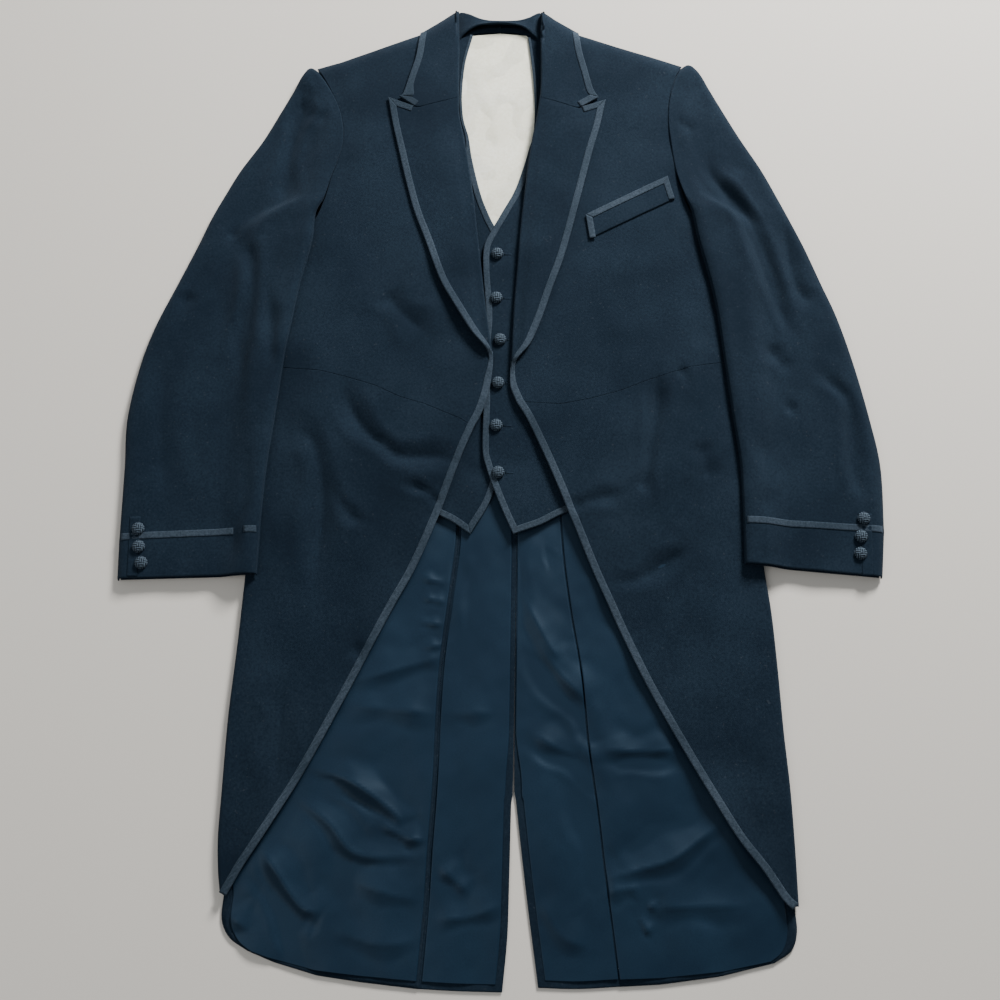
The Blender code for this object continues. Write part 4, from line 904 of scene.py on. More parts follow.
def button_material(name, dark, light):
    """Thread woven like a basket: squares whose threads run across and along in turn. Its colour follows the
    weave's height, with painted shade in the hollows between the threads.
    """
    material, shader = make_material(name, light, roughness=0.7, sheen=0.0, specular=0.12)
    place = add_node(material, "ShaderNodeUVMap").outputs["UV"]
    squares = add_node(material, "ShaderNodeTexChecker", {"Scale": 1.0 / (BASKET_CELL * MM)})
    threads = [add_node(material, "ShaderNodeTexWave", {"Scale": THREAD_SCALE}, bands_direction=way)
               for way in ("X", "Y")]
    for node in (squares, *threads):
        link(material, place, node.inputs["Vector"])
    woven = add_node(material, "ShaderNodeMix")
    for node, socket in zip((squares, *threads), ("Factor", "A", "B")):
        link(material, node.outputs["Fac"], woven.inputs[socket])
    height = woven.outputs["Result"]
    # Painted shade: the colour goes dark where the weave is low, between the threads, and keeps the thread's
    # own pale blue on their tops
    colour = ramp(material, height, low=0.15, dark=dark, high=0.6, light=light)
    link(material, colour, shader.inputs["Base Color"])
    add_bump(material, shader, height, strength=0.8, depth=0.0004)
    return material


MATERIALS = {
    "navy_wool": cloth_material(
        "navy_wool", dark=(0.0041, 0.0094, 0.0176), light=(0.0106, 0.0198, 0.0322),
        roughness=0.90, sheen=0.04, specular=0.14, weave=330.0, depth=0.00035, grain=420.0, lint=0.012),
    "navy_braid": cloth_material(
        "navy_braid", dark=(0.0170, 0.0270, 0.0385), light=(0.0450, 0.0620, 0.0830),
        roughness=0.80, sheen=0.06, specular=0.14, weave=260.0, depth=0.00060, grain=500.0, ribs=True),
    "navy_satin": cloth_material(
        "navy_satin", dark=(0.0028, 0.0114, 0.0240), light=(0.0056, 0.0182, 0.0350),
        roughness=0.45, sheen=0.0, specular=0.30, weave=0.0, depth=0.00006, grain=900.0),
    "cream_cotton": cloth_material(
        "cream_cotton", dark=(0.80, 0.78, 0.62), light=(0.93, 0.92, 0.80),
        roughness=0.82, sheen=0.05, specular=0.30, weave=420.0, depth=0.00020, grain=300.0),
    # The button's dark colour is painted shade in the hollows of its weave; its light colour is the thread's
    # own
    "covered_button": button_material(
        "covered_button", dark=(0.0030, 0.0060, 0.0105), light=(0.0600, 0.0820, 0.1050)),
}


def cells_of(grid):
    """The values at the four corners of every cell of a grid."""
    return np.stack((grid[:-1, :-1], grid[:-1, 1:], grid[1:, 1:], grid[1:, :-1]), axis=-1)


def add_piece(name, grids, wall, slot, nodes=()):
    """One mesh through some grids of points in millimetres, thickened on its inner side.

    A grid may leave out points with not-a-number.
    """
    points, faces, wound = [], [], []
    start = 0
    for grid in grids:
        known = ~np.isnan(grid[..., 0])
        index = np.full(known.shape, -1)
        index[known] = np.arange(known.sum()) + start
        start += int(known.sum())
        quads = cells_of(index)[cells_of(known).all(axis=-1)]
        row, next_row = grid[len(grid) // 2], grid[len(grid) // 2 + 1]
        top = int(np.nanargmax(row[:-1, 2] + row[1:, 2]))
        if np.cross(row[top + 1] - row[top], next_row[top] - row[top])[2] < 0:
            quads = quads[:, ::-1]
        points.append(grid[known])
        faces.append(quads)
        across = np.linalg.norm(np.diff(grid, axis=1, prepend=grid[:, :1]), axis=2)
        down = np.linalg.norm(np.diff(grid, axis=0, prepend=grid[:1]), axis=2)
        unrolled = np.stack((np.nancumsum(across, axis=1), np.nancumsum(down, axis=0)), axis=-1)
        wound.append(unrolled[known] * MM)
    points, faces, wound = np.vstack(points), np.vstack(faces), np.vstack(wound)
    mesh = bpy.data.meshes.new(name)
    mesh.from_pydata((points + SHIFT) * MM, [], faces.tolist())
    mesh.uv_layers.new(name="cloth").data.foreach_set("uv", wound[faces.ravel()].ravel())
    mesh.materials.append(MATERIALS[slot])
    mesh.shade_smooth()
    mesh.update()
    piece = bpy.data.objects.new(name, mesh)
    bpy.context.scene.collection.objects.link(piece)
    solid = piece.modifiers.new("wall", "SOLIDIFY")
    solid.thickness = wall * MM
    solid.offset = -1.0
    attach(piece, "root")
    if nodes:
        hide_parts(*nodes)
    return piece


def add_sheet(name, grid, wall, slot, nodes, with_pieces=()):
    """A piece of cloth. The size of its cut, as measured over its own surface, is worked out but not used."""
    piece = add_piece(name, [grid], wall, slot, nodes)
    across = np.linalg.norm(np.diff(grid, axis=1), axis=2)
    down = np.linalg.norm(np.diff(grid, axis=0), axis=2)
    width = max(float(np.nansum(across, axis=1).max()), SMALLEST_CUT)
    length = float(np.nansum(down, axis=0).max())
    area = sum(face.area for face in piece.data.polygons)
    area = min(area, width * length * MM * MM)
    return piece


def height_reader(grid):
    """A function that reads a grid's height from above, and its nearest height beside it."""
    index = np.arange(grid.shape[0] * grid.shape[1]).reshape(grid.shape[:2])
    tree = BVHTree.FromPolygons(grid.reshape(-1, 3).tolist(), cells_of(index).reshape(-1, 4).tolist())

    def at(x, y):
        found = np.zeros(np.shape(x))
        for spot in np.ndindex(found.shape):
            hit = tree.ray_cast(Vector((x[spot], y[spot], READ_FROM)), Vector((0, 0, -1)))[0]
            if hit is None:
                hit = tree.find_nearest(Vector((x[spot], y[spot], READ_BESIDE)))[0]
            found[spot] = hit.z
        return found
    return at


def strip(path, width, turn, height_at, profile=BOUND_PROFILE, cuts=(0.0, 0.0), lift=BRAID_LIFT):
    """A braid along a path: turn is 1 where it lies to the left of the run. Cuts are its mitred ends."""
    count = max(3, round(path.length / BRAID_STEP))
    t = np.linspace(0.0, 1.0, count + 1)
    points = path(t)
    run = np.gradient(points, axis=0)
    run /= np.linalg.norm(run, axis=1)[:, None]
    aside = np.stack((-run[:, 1], run[:, 0]), axis=1) * turn
    wide = width(t) if callable(width) else np.full(len(t), width)
    shares, falls = np.array(profile).T
    offsets = shares[None] * wide[:, None]
    slide = offsets * ((1 - t) * cuts[0] - t * cuts[1])[:, None]
    slant = run[:, None] * slide[..., None]
    flat = points[:, None] + aside[:, None] * offsets[..., None] + slant
    inside = points[:, None] + aside[:, None] * np.maximum(offsets, 0.0)[..., None] + slant
    return raise_grid(flat, height_at(*plan(inside)) + lift - falls)


def widening(narrow, wide, span):
    """A braid's width that grows over some share of its path."""
    return lambda t: mix(narrow, wide, smooth(*span, t))


def mitre(first, second, turn):
    """The slope of a mitred joint between two paths that meet at a corner."""
    a, b = first(1.0) - first(1 - MITRE_RUN), second(MITRE_RUN) - second(0.0)
    angle = math.atan2(a[0] * b[1] - a[1] * b[0], a @ b)
    return math.tan(turn * angle / 2)


def braid_round(name, paths, widths, turn, height_at, nodes, **how):
    """A braid along paths that meet at corners, mitred where they do."""
    cuts = [0.0] + [mitre(a, b, turn) for a, b in zip(paths, paths[1:])] + [0.0]
    grids = [strip(path, width, turn, height_at, cuts=cut, **how)
             for path, width, cut in zip(paths, widths, zip(cuts, cuts[1:]))]
    return add_piece(name, grids, BRAID_WALL, "navy_braid", nodes)


def wrap_columns(top_points, side, radius):
    """The half round of a fold, from its top line to its underside, as further columns."""
    angles = np.linspace(math.pi / 2, -math.pi / 2, WRAP_ANGLES + 1)[1:][None]
    radius = np.broadcast_to(radius, len(top_points))[:, None]
    x = top_points[:, None, 0] + side * radius * np.cos(angles)
    y = np.repeat(top_points[:, None, 1], WRAP_ANGLES, axis=1)
    z = top_points[:, None, 2] - radius + radius * np.sin(angles)
    return np.dstack((x, y, z))


def side_line(coat, offset):
    return [(x - coat["side"] * offset, y) for x, y in coat["side_fold"]]


def hem_corner(coat):
    """The round corner of the hem, from the under line of the side fold out to the hem."""
    reach = coat["side"] * FOLD_RADIUS
    return edge([(x - reach * turn, y) for (x, y), turn in zip(coat["hem_corner"], CORNER_TURN)])


def seam_share(coat):
    return 1 - (SIDE_SEAM_INSET - FOLD_RADIUS) / along(coat["waist_seam"]).length


def build_back(name, coat):
    """The long back, which shows behind the neck, along the tail's edges and from below."""
    side = coat["side"]
    seam = sampled(edge(coat["back_seam"]), SEAM_SAMPLES)
    pleat = sampled(edge(coat["pleat"]), PLEAT_SAMPLES)
    armhole = [p for p in coat["armhole"] if p[1] > coat["back_seam"][0][1]]
    outer = along(np.vstack((armhole, seam, pleat[1:])) - (side * SEAM, 0.0))
    start = (side * SEAM / 2, coat["vent"][0][1] + BACK_NECK_RISE)
    inner = edge([start, *[(x + side * SEAM / 2, y) for x, y in coat["vent"][1:]]])
    neck = [(side * x, y) for x, y in BACK_NECK]
    shoulder = [(x, y - BACK_SHOULDER_DROP) for x, y in coat["shoulder"][1:-1]]
    top = along([start, *neck, *shoulder, tuple(outer(0.0))])
    hem = edge(coat["tail_hem"][::-1])
    flat = patch(top, hem, inner, outer, step=WIDE_STEP)
    height = WOOL - fall_at(flat, (inner, FINE_SEAM), (hem, EDGE_ROLL))
    return add_sheet(f"wool_back_{name}", raise_grid(flat, height), WOOL - SEAM, "navy_wool",
                     (f"back_{name}",))


def under_layer(top, bottom, inner, outer, down, count, waves):
    """The underside, from the side fold's points to the back seam or pleat: flat, with shallow creases."""
    rows = distances(down)
    u = np.linspace(0.0, 1.0, count + 1)[None] * np.ones((len(rows), 1))
    flat = coons(top, bottom, inner, outer, rows / rows[-1], u)
    low = np.clip(swell(*plan(flat), waves), 0.0, UNDERSIDE_LIFT)
    return raise_grid(flat, low * smooth(0.0, UNDERSIDE_START, np.arange(count + 1)))


def build_side_body(name, coat):
    """The side body: from its seam on the chest, round the side fold, to the back seam."""
    armpit, waist = coat["side_fold"][0][1], coat["waist_seam"][-1][1]
    fold = edge(cut_line(side_line(coat, FOLD_RADIUS), armpit, waist))
    seam = edge(cut_line(side_line(coat, SIDE_SEAM_INSET), armpit, waist))
    waist_line = along(coat["waist_seam"])
    lower = part_of(waist_line, seam_share(coat), 1.0)
    flat = patch(along((seam(0.0), fold(0.0))), lower, seam, fold, columns=(EDGE_GAPS, (0.0,)))
    height = coat_height(*plan(flat), coat)
    height[:, -1] = SIDE_HEIGHT
    height = height - fall_at(flat, (seam, FINE_SEAM), (lower, FINE_SEAM))
    top = raise_grid(flat, height)
    folded = wrap_columns(top[:, -1], coat["side"], top[:, -1, 2] / 2)
    back = edge(coat["back_seam"])
    under = under_layer(along((fold(0.0), back(0.0))), along((waist_line(1.0), back(1.0))), fold, back,
                        flat[:, -1], SIDE_COLUMNS, SIDE_SWELL)
    grid = np.concatenate((top, folded, under[:, 1:]), axis=1)
    return add_sheet(f"wool_side_{name}", grid, WOOL, "navy_wool", (f"side_body_{name}",))


def build_skirt(name, coat):
    """The skirt: front layer, side fold and underside, with the round corner on the underside only."""
    waist, end = coat["waist_seam"][-1][1], coat["side_fold"][-1][1]
    fold = edge(cut_line(side_line(coat, FOLD_RADIUS), waist, end))
    front = edge(coat["front_edge"])
    waist_line = along(coat["waist_seam"])
    flat = patch(waist_line, along((front(1.0), fold(1.0))), front, fold, columns=(EDGE_GAPS, (0.0,)))
    to_fold = gap_to(flat, sampled(fold, FOLD_SAMPLES))
    height = mix(SIDE_HEIGHT, coat_height(*plan(flat), coat), smooth(0.0, FOLD_BLEND, to_fold))
    height = height - fall_at(flat, (front, EDGE_ROLL), (waist_line, FINE_SEAM))
    top = raise_grid(flat, height)
    folded = wrap_columns(top[:, -1], coat["side"], top[:, -1, 2] / 2)
    corner = hem_corner(coat)
    down = np.vstack((flat[:, -1], sampled(corner, CORNER_ROWS + 1)[1:]))
    hem = along([tuple(corner(1.0)), *coat["hem"][1:]])
    under = under_layer(along((waist_line(1.0), coat["pleat"][0])), hem, along(down), edge(coat["pleat"]),
                        down, SKIRT_COLUMNS, SKIRT_SWELL)
    upper = np.concatenate((top, folded[:, :-1]), axis=1)
    blank = np.full((CORNER_ROWS, upper.shape[1], 3), np.nan)
    grid = np.concatenate((np.concatenate((upper, blank)), under), axis=1)
    return add_sheet(f"wool_skirt_{name}", grid, WOOL, "navy_wool", (f"skirt_{name}",))


def neck_line(coat):
    """The forepart's edge under the lapel and the collar, outside the roll."""
    side, gorge_y = coat["side"], coat["gorge"][1]
    line = []
    for x, y in coat["roll"][:-1]:
        leg = mix(LAPEL_LEG, COLLAR_LEG, float(smooth(gorge_y - GORGE_BLEND, gorge_y, np.float64(y))))
        line.append((x + side * leg, y))
    start = (line[0][0], coat["shoulder"][0][1] - NECK_DROP)
    end_x, end_y = coat["roll"][-1]
    return [start, *line[1:], (end_x + side * LAPEL_END_LEG, end_y)]


def build_forepart(name, coat):
    """The chest, and the braid down the whole front edge from the break of the lapel."""
    waist = coat["waist_seam"][-1][1]
    inner = edge([*neck_line(coat), *coat["fore_edge"][1:]])
    waist_line = along(coat["waist_seam"])
    share = seam_share(coat)
    seam = cut_line(side_line(coat, SIDE_SEAM_INSET), coat["side_fold"][0][1], waist)
    outer = along(np.vstack((rounded(coat["armhole"]), rounded([*seam[:-1], tuple(waist_line(share))]))))
    shoulder = along([tuple(inner(0.0)), *coat["shoulder"][1:-1], tuple(outer(0.0))])
    lower = part_of(waist_line, 0.0, share)
    flat = patch(shoulder, lower, inner, outer, rows=(SHOULDER_GAPS, EDGE_GAPS))
    height = coat_height(*plan(flat), coat)
    height = height - fall_at(flat, (inner, EDGE_ROLL), (outer, SEAM_ROLL), (lower, FINE_SEAM))
    chest_edge = rounded([coat["roll"][-1], *coat["fore_edge"][1:]])
    front = along(np.vstack((chest_edge, rounded(coat["front_edge"])[1:])))

    def face(x, y):
        return coat_height(x, y, coat)
    width = widening(BREAK_BRAID, FRONT_BRAID, FRONT_WIDENING)
    braid = braid_round(f"braid_front_{name}", [front], [width], coat["side"], face,
                        (f"braid_forepart_{name}", f"braid_skirt_{name}"))
    return add_sheet(f"wool_forepart_{name}", raise_grid(flat, height), CHEST_WOOL, "navy_wool",
                     (f"forepart_{name}",), (braid,))


def turned_over(flat, height, coat, wall):
    """Adds the half round of the roll and the short leg under it to a lapel or collar."""
    side = coat["side"]
    radius = (CHEST_WOOL + SEAM + wall) / 2
    neck = rounded(neck_line(coat))
    x, y = plan(flat[:, 0])
    nearest = np.min([side * x_at(neck, y + step) for step in LEG_SCAN], axis=0)
    leg_end = side * (nearest - LEG_GAP)
    slope = (flat[:, -1, 1] - y) / (flat[:, -1, 0] - x)
    under = np.maximum(coat_height(leg_end, y, coat), coat_height(x, y, coat))
    start = np.stack((x + side * radius, y + side * radius * slope, under + SEAM + wall), axis=1)
    across = np.linalg.norm(flat - flat[:, :1], axis=2)
    top = raise_grid(flat, mix(start[:, None, 2], height, smooth(radius, radius + ROLL_BLEND, across)))
    clear = radius + ROLL_CLEAR
    for row, gaps in zip(top, across):
        moved = clear + gaps * (1 - clear / gaps[-1])
        row[:] = np.stack([np.interp(moved, gaps, row[:, axis]) for axis in range(3)], axis=1)
    folded = wrap_columns(start, -side, radius)
    leg = np.stack((leg_end, y + slope * (leg_end - x), folded[:, -1, 2]), axis=1)[:, None]
    return np.concatenate((top[:, ::-1], start[:, None], folded, leg), axis=1)


def build_lapel(name, coat):
    """A peaked lapel with its belly, the curl of its lower edge, and its braid."""
    side = coat["side"]
    end_x, end_y = coat["roll"][-1]
    tip = (end_x + side * LAPEL_TIP, end_y)
    roll = edge(cut_line(coat["roll"], coat["gorge"][1], end_y + LAPEL_END))
    outer = edge([*coat["lapel_outer"][:-1], tip])
    peak, notch = coat["lapel_peak"], coat["notch"]
    gorge = bent((tuple(roll(0.0)), notch, peak), GORGE_STATIONS)
    flat = patch(gorge, along((roll(1.0), outer(1.0))), roll, outer, columns=(LAPEL_ROLL_GAPS, EDGE_GAPS))
    rows = np.linspace(0.0, 1.0, len(flat))[:, None]
    from_roll = np.linalg.norm(flat - flat[:, :1], axis=2)
    share = from_roll / from_roll[:, -1:]
    height = coat_height(*plan(flat), coat) + SEAM + LAPEL_WOOL + LAPEL_CLEAR
    height += LAPEL_BELLY * smooth(0.0, LAPEL_BELLY_RISE, rows) * np.sin(math.pi * share)
    curl = smooth(*LAPEL_CURL_RISE, rows) * (1 - smooth(*LAPEL_CURL_END, rows))
    height += coat["lapel_curl"] * curl * share ** 2
    read = height_reader(raise_grid(flat, height))
    height = height - fall_at(flat, (outer, EDGE_ROLL), (along((notch, peak)), EDGE_ROLL),
                              (along((tuple(roll(0.0)), notch)), FINE_SEAM))

    def face(x, y):
        half_way = end_y - LAPEL_RUN_OUT / 2
        sunk = smooth(end_y - LAPEL_RUN_OUT, half_way, y)
        front = coat_height(x, y, coat) + mix(-BRAID_WALL, BRAID_WALL / 2, sunk)
        return mix(front, read(x, y), smooth(half_way, end_y + LAPEL_JOIN, y))
    run_out = (end_x + side * BREAK_BRAID, end_y - LAPEL_RUN_OUT)
    edge_leg = edge([run_out, tip, *coat["lapel_outer"][-2::-1]])
    gorge_leg = along((peak, mix(np.array(peak), np.array(notch), LAPEL_GORGE_BRAID)))
    width = widening(BREAK_BRAID, LAPEL_BRAID, LAPEL_WIDENING)
    braid = braid_round(f"braid_on_lapel_{name}", [edge_leg, gorge_leg], [width, LAPEL_BRAID], side, face,
                        (f"braid_lapel_{name}",))
    return add_sheet(f"wool_lapel_{name}", turned_over(flat, height, coat, LAPEL_WOOL), LAPEL_WOOL,
                     "navy_wool", (f"lapel_{name}",), (braid,))


def build_collar(name, coat):
    """A collar's fall over the shoulder, with its braid."""
    neck_x, neck_y = coat["shoulder"][0]
    roll = cut_line(coat["roll"], neck_y - COLLAR_START, coat["gorge"][1])
    fold = edge([(neck_x, neck_y + COLLAR_REACH), *roll])
    outer = edge(coat["collar_outer"])
    notch, end = coat["notch"], coat["collar_corner"]
    gorge = bent((tuple(fold(1.0)), notch, end), GORGE_STATIONS)
    flat = patch(along((fold(0.0), outer(0.0))), gorge, fold, outer, rows=(SHOULDER_GAPS, EDGE_GAPS),
                 columns=(COLLAR_ROLL_GAPS, EDGE_GAPS))
    height = coat_height(*plan(flat), coat) + SEAM + COLLAR_WOOL + COLLAR_CLEAR
    read = height_reader(raise_grid(flat, height))
    height = height - fall_at(flat, (outer, EDGE_ROLL), (along((notch, end)), EDGE_ROLL),
                              (along((tuple(fold(1.0)), notch)), FINE_SEAM))
    end_leg = along((end, mix(np.array(end), np.array(notch), COLLAR_END_BRAID)))
    braid = braid_round(f"braid_on_collar_{name}", [outer, end_leg], [LAPEL_BRAID, LAPEL_BRAID],
                        -coat["side"], read, (f"braid_collar_{name}",))
    return add_sheet(f"wool_collar_{name}", turned_over(flat, height, coat, COLLAR_WOOL), COLLAR_WOOL,
                     "navy_wool", (f"collar_{name}",), (braid,))


def build_stand():
    """The stand round the back of the neck: it rises from its fold to the lip over the waistcoat."""
    t = np.linspace(0, 1, STAND_ROWS)
    fold, lip = edge(STAND_FOLD)(t), edge(STAND_LIP)(t)
    lip_height = mix(STAND_END_HEIGHT, STAND_LIP_HEIGHT, np.sin(math.pi * t)) + swell(*plan(lip), STAND_SWELL)
    fold_height = mix(STAND_END_FOLD, STAND_HEIGHT, smooth(0.0, STAND_END, np.minimum(t, 1 - t)))
    radius = fold_height / 2
    aside = (fold - lip) / np.linalg.norm(fold - lip, axis=1)[:, None]
    start = fold - aside * radius[:, None]
    columns = []
    for share, fall in STAND_LIP_PROFILE:
        columns.append(np.column_stack((mix(lip, fold, share), lip_height - fall)))
    for share in STAND_COLUMNS:
        columns.append(np.column_stack((mix(lip, start, share), mix(lip_height, fold_height, share))))
    for angle in np.linspace(math.pi / 2, -math.pi / 2, STAND_ANGLES):
        columns.append(np.column_stack((start + aside * radius[:, None] * math.cos(angle),
                                        radius + radius * math.sin(angle))))
    return add_sheet("wool_collar_stand", np.stack(columns, axis=1), STAND_WOOL, "navy_wool",
                     ("collar_stand",))


def lining_sheet(name, node, top, bottom, inner, outer, start, insets):
    """Satin between two edges, set in from them by insets that may change down the tail."""
    length = inner.length * (1 - start) - LINING_INSET
    rows = spots(length, SATIN_STEP, (0.0,), EDGE_GAPS) / inner.length + start
    first, last = inner(rows), outer(rows)
    widths = np.linalg.norm(first - last, axis=1)
    near, far = insets(first[:, 1])
    across = columns_for(widths - near - far, SATIN_STEP, EDGE_GAPS, EDGE_GAPS)
    flat = coons(top, bottom, inner, outer, rows, (across + near[:, None]) / widths[:, None])
    height = lining_height(*plan(flat))
    height -= np.maximum(0.0, SEAM_ROLL - across) + np.maximum(0.0, SEAM_ROLL - (across[:, -1:] - across))
    return add_sheet(name, raise_grid(flat, height), SATIN_WALL, "navy_satin", (node,))


def build_linings(name, coat):
    """Satin inside the tails: on the skirt's underside, and between the pleat and the vent."""
    waist, end = coat["waist_seam"][-1], coat["side_fold"][-1][1]
    fold = edge(cut_line(side_line(coat, FOLD_RADIUS), waist[1], end))
    corner = hem_corner(coat)
    down = along(np.vstack((sampled(fold, LINING_SAMPLES), sampled(corner, HEM_SAMPLES)[1:])))
    pleat = edge(coat["pleat"])
    hem = along([tuple(corner(1.0)), *coat["hem"][1:]])
    top = along((waist, coat["back_seam"][-1]))
    start = (pleat(0.0)[1] - LINING_TOP) / down.length

    def skirt_insets(y):
        return np.full(len(y), LINING_SIDE_INSET), np.full(len(y), coat["pleat_gap"])

    def back_insets(y):
        return np.full(len(y), coat["pleat_gap"]), mix(coat["vent_gap"], LINING_INSET, smooth(*VENT_BLEND, y))
    lining_sheet(f"satin_skirt_{name}", f"skirt_lining_{name}", top, hem, down, pleat, start, skirt_insets)
    inner = edge(cut_line(coat["pleat"], LINING_TOP, coat["pleat"][-1][1]))
    outer = edge(cut_line(coat["vent"], LINING_TOP, coat["vent"][-1][1]))
    lining_sheet(f"satin_back_{name}", f"back_lining_{name}", along((inner(0.0), outer(0.0))),
                 edge(coat["tail_hem"]), inner, outer, 0.0, back_insets)


def build_vest_front(name):
    """A front of the waistcoat, with the braid down its opening and along its hem."""
    table = VEST[name]
    opening, hem = edge(table["opening"]), edge(table["hem"])

    def face(x, y):
        return vest_height(x, y, name == "left")
    flat = patch(along(table["shoulder"]), hem, opening, edge(table["outer"]), step=VEST_STEP)
    height = face(*plan(flat)) - fall_at(flat, (opening, EDGE_ROLL), (hem, EDGE_ROLL))
    hem_leg = along(sampled(part_of(hem, 0.0, VEST_HEM_BRAID), HEM_SAMPLES))
    width = widening(NECK_BRAID, VEST_BRAID, NECK_WIDENING)
    braid = braid_round(f"braid_on_waistcoat_{name}", [opening, hem_leg], [width, VEST_BRAID], table["side"],
                        face, (f"braid_waistcoat_{name}",))
    add_sheet(f"wool_waistcoat_{name}", raise_grid(flat, height), VEST_WOOL * THIN_SHARE, "navy_wool",
              (f"waistcoat_front_{name}",), (braid,))


def build_neck():
    """The waistcoat's lining that shows in its neck, and its neck band."""
    left, right = [edge(line) for line in VEST_BACK_SIDES]
    top = along((left(0.0), VEST_BACK_NECK, right(0.0)))
    flat = patch(top, along((left(1.0), right(1.0))), left, right)
    x, y = plan(flat)
    wrinkles = relief(x, y, COTTON_LINES) + swell(x, y, COTTON_SWELL)
    height = VEST_BACK_LEVEL + COTTON + np.clip(wrinkles, *COTTON_LIMITS)
    add_sheet("cotton_in_neck", raise_grid(flat, height), COTTON_WALL, "cream_cotton", ())
    outer, inner = edge(NECK_BAND_OUTER), edge(NECK_BAND_INNER)
    u = np.array(NECK_BAND_COLUMNS)
    t = np.linspace(0, 1, NECK_BAND_ROWS)
    flat = mix(outer(t)[:, None], inner(t)[:, None], u[None, :, None])
    ends = smooth(0.0, NECK_BAND_END, np.minimum(t, 1 - t))[:, None]
    height = VEST_BACK_LEVEL + VEST_WOOL + mix(NECK_BAND_RISE, 0.0, u)[None] - NECK_BAND_END_DROP * (1 - ends)
    height = height - fall_at(flat, (outer, NECK_BAND_ROLL), (inner, NECK_BAND_ROLL))
    add_sheet("wool_neck_band", raise_grid(flat, height), VEST_WOOL * THIN_SHARE, "navy_wool",
              ("waistcoat_neck_band",))


def sleeve_sections(name):
    """Fine sections of a sleeve: plan of its inner and outer edges, its rest and how far it is sewn."""
    fine = along(rounded(SLEEVES[name], SLEEVE_SAMPLES))
    count = round(edge([row[2:4] for row in SLEEVES[name]]).length / STEP)
    return fine(np.concatenate((np.linspace(0.0, 1.0, count)[:-1], CUFF_ROWS)))


def sleeve_low(rows, u, coat):
    """Height that the sleeve's under half rests at: sewn in, or on the body and then down to the floor."""
    x = mix(rows[:, 0, None], rows[:, 2, None], u)
    y = mix(rows[:, 1, None], rows[:, 3, None], u)
    fold = np.abs(x_at(coat["side_fold"], y))
    on_body = coat["side"] * np.minimum(np.abs(x), fold - FOLD_RADIUS - BODY_MARGIN)
    armpit = coat["armhole"][-1][1]
    body = coat_height(on_body, np.minimum(y, armpit + ARMPIT_RISE), coat) + SLEEVE_REST_GAP
    sewn = smooth(*SEWN_LOW, rows[:, 6])[:, None]
    resting = mix(body, rows[:, 5, None], sewn)
    rest = mix(fold + BODY_MARGIN, np.abs(rows[:, 4, None]), sewn)
    return resting * (1 - smooth(rest, rest + SLEEVE_DROP, np.abs(x)))


def build_cuff(name, coat, read):
    """The cuff's braid, and the lap that its buttons lie on."""
    side = coat["side"]
    upper, lower = SLEEVES[name][-3], SLEEVES[name][-2]
    middle = mix(np.array(upper), np.array(lower), 0.5)
    lift = np.array((0.0, CUFF_BRAID / 2))
    start, finish = middle[0:2] + lift, middle[2:4] + lift
    runs = [along((mix(start, finish, a), mix(start, finish, b))) for a, b in coat["cuff_runs"]]
    grids = [strip(run, CUFF_BRAID, -side, read, profile=FLAT_PROFILE) for run in runs]
    braid = add_piece(f"braid_on_cuff_{name}", grids, BRAID_WALL, "navy_braid", (f"braid_cuff_{name}",))
    lap = strip(along(coat["cuff_lap"]), CUFF_LAP, side, read, profile=FLAT_PROFILE)
    return braid, add_piece(f"wool_cuff_lap_{name}", [lap], BRAID_WALL, "navy_wool")


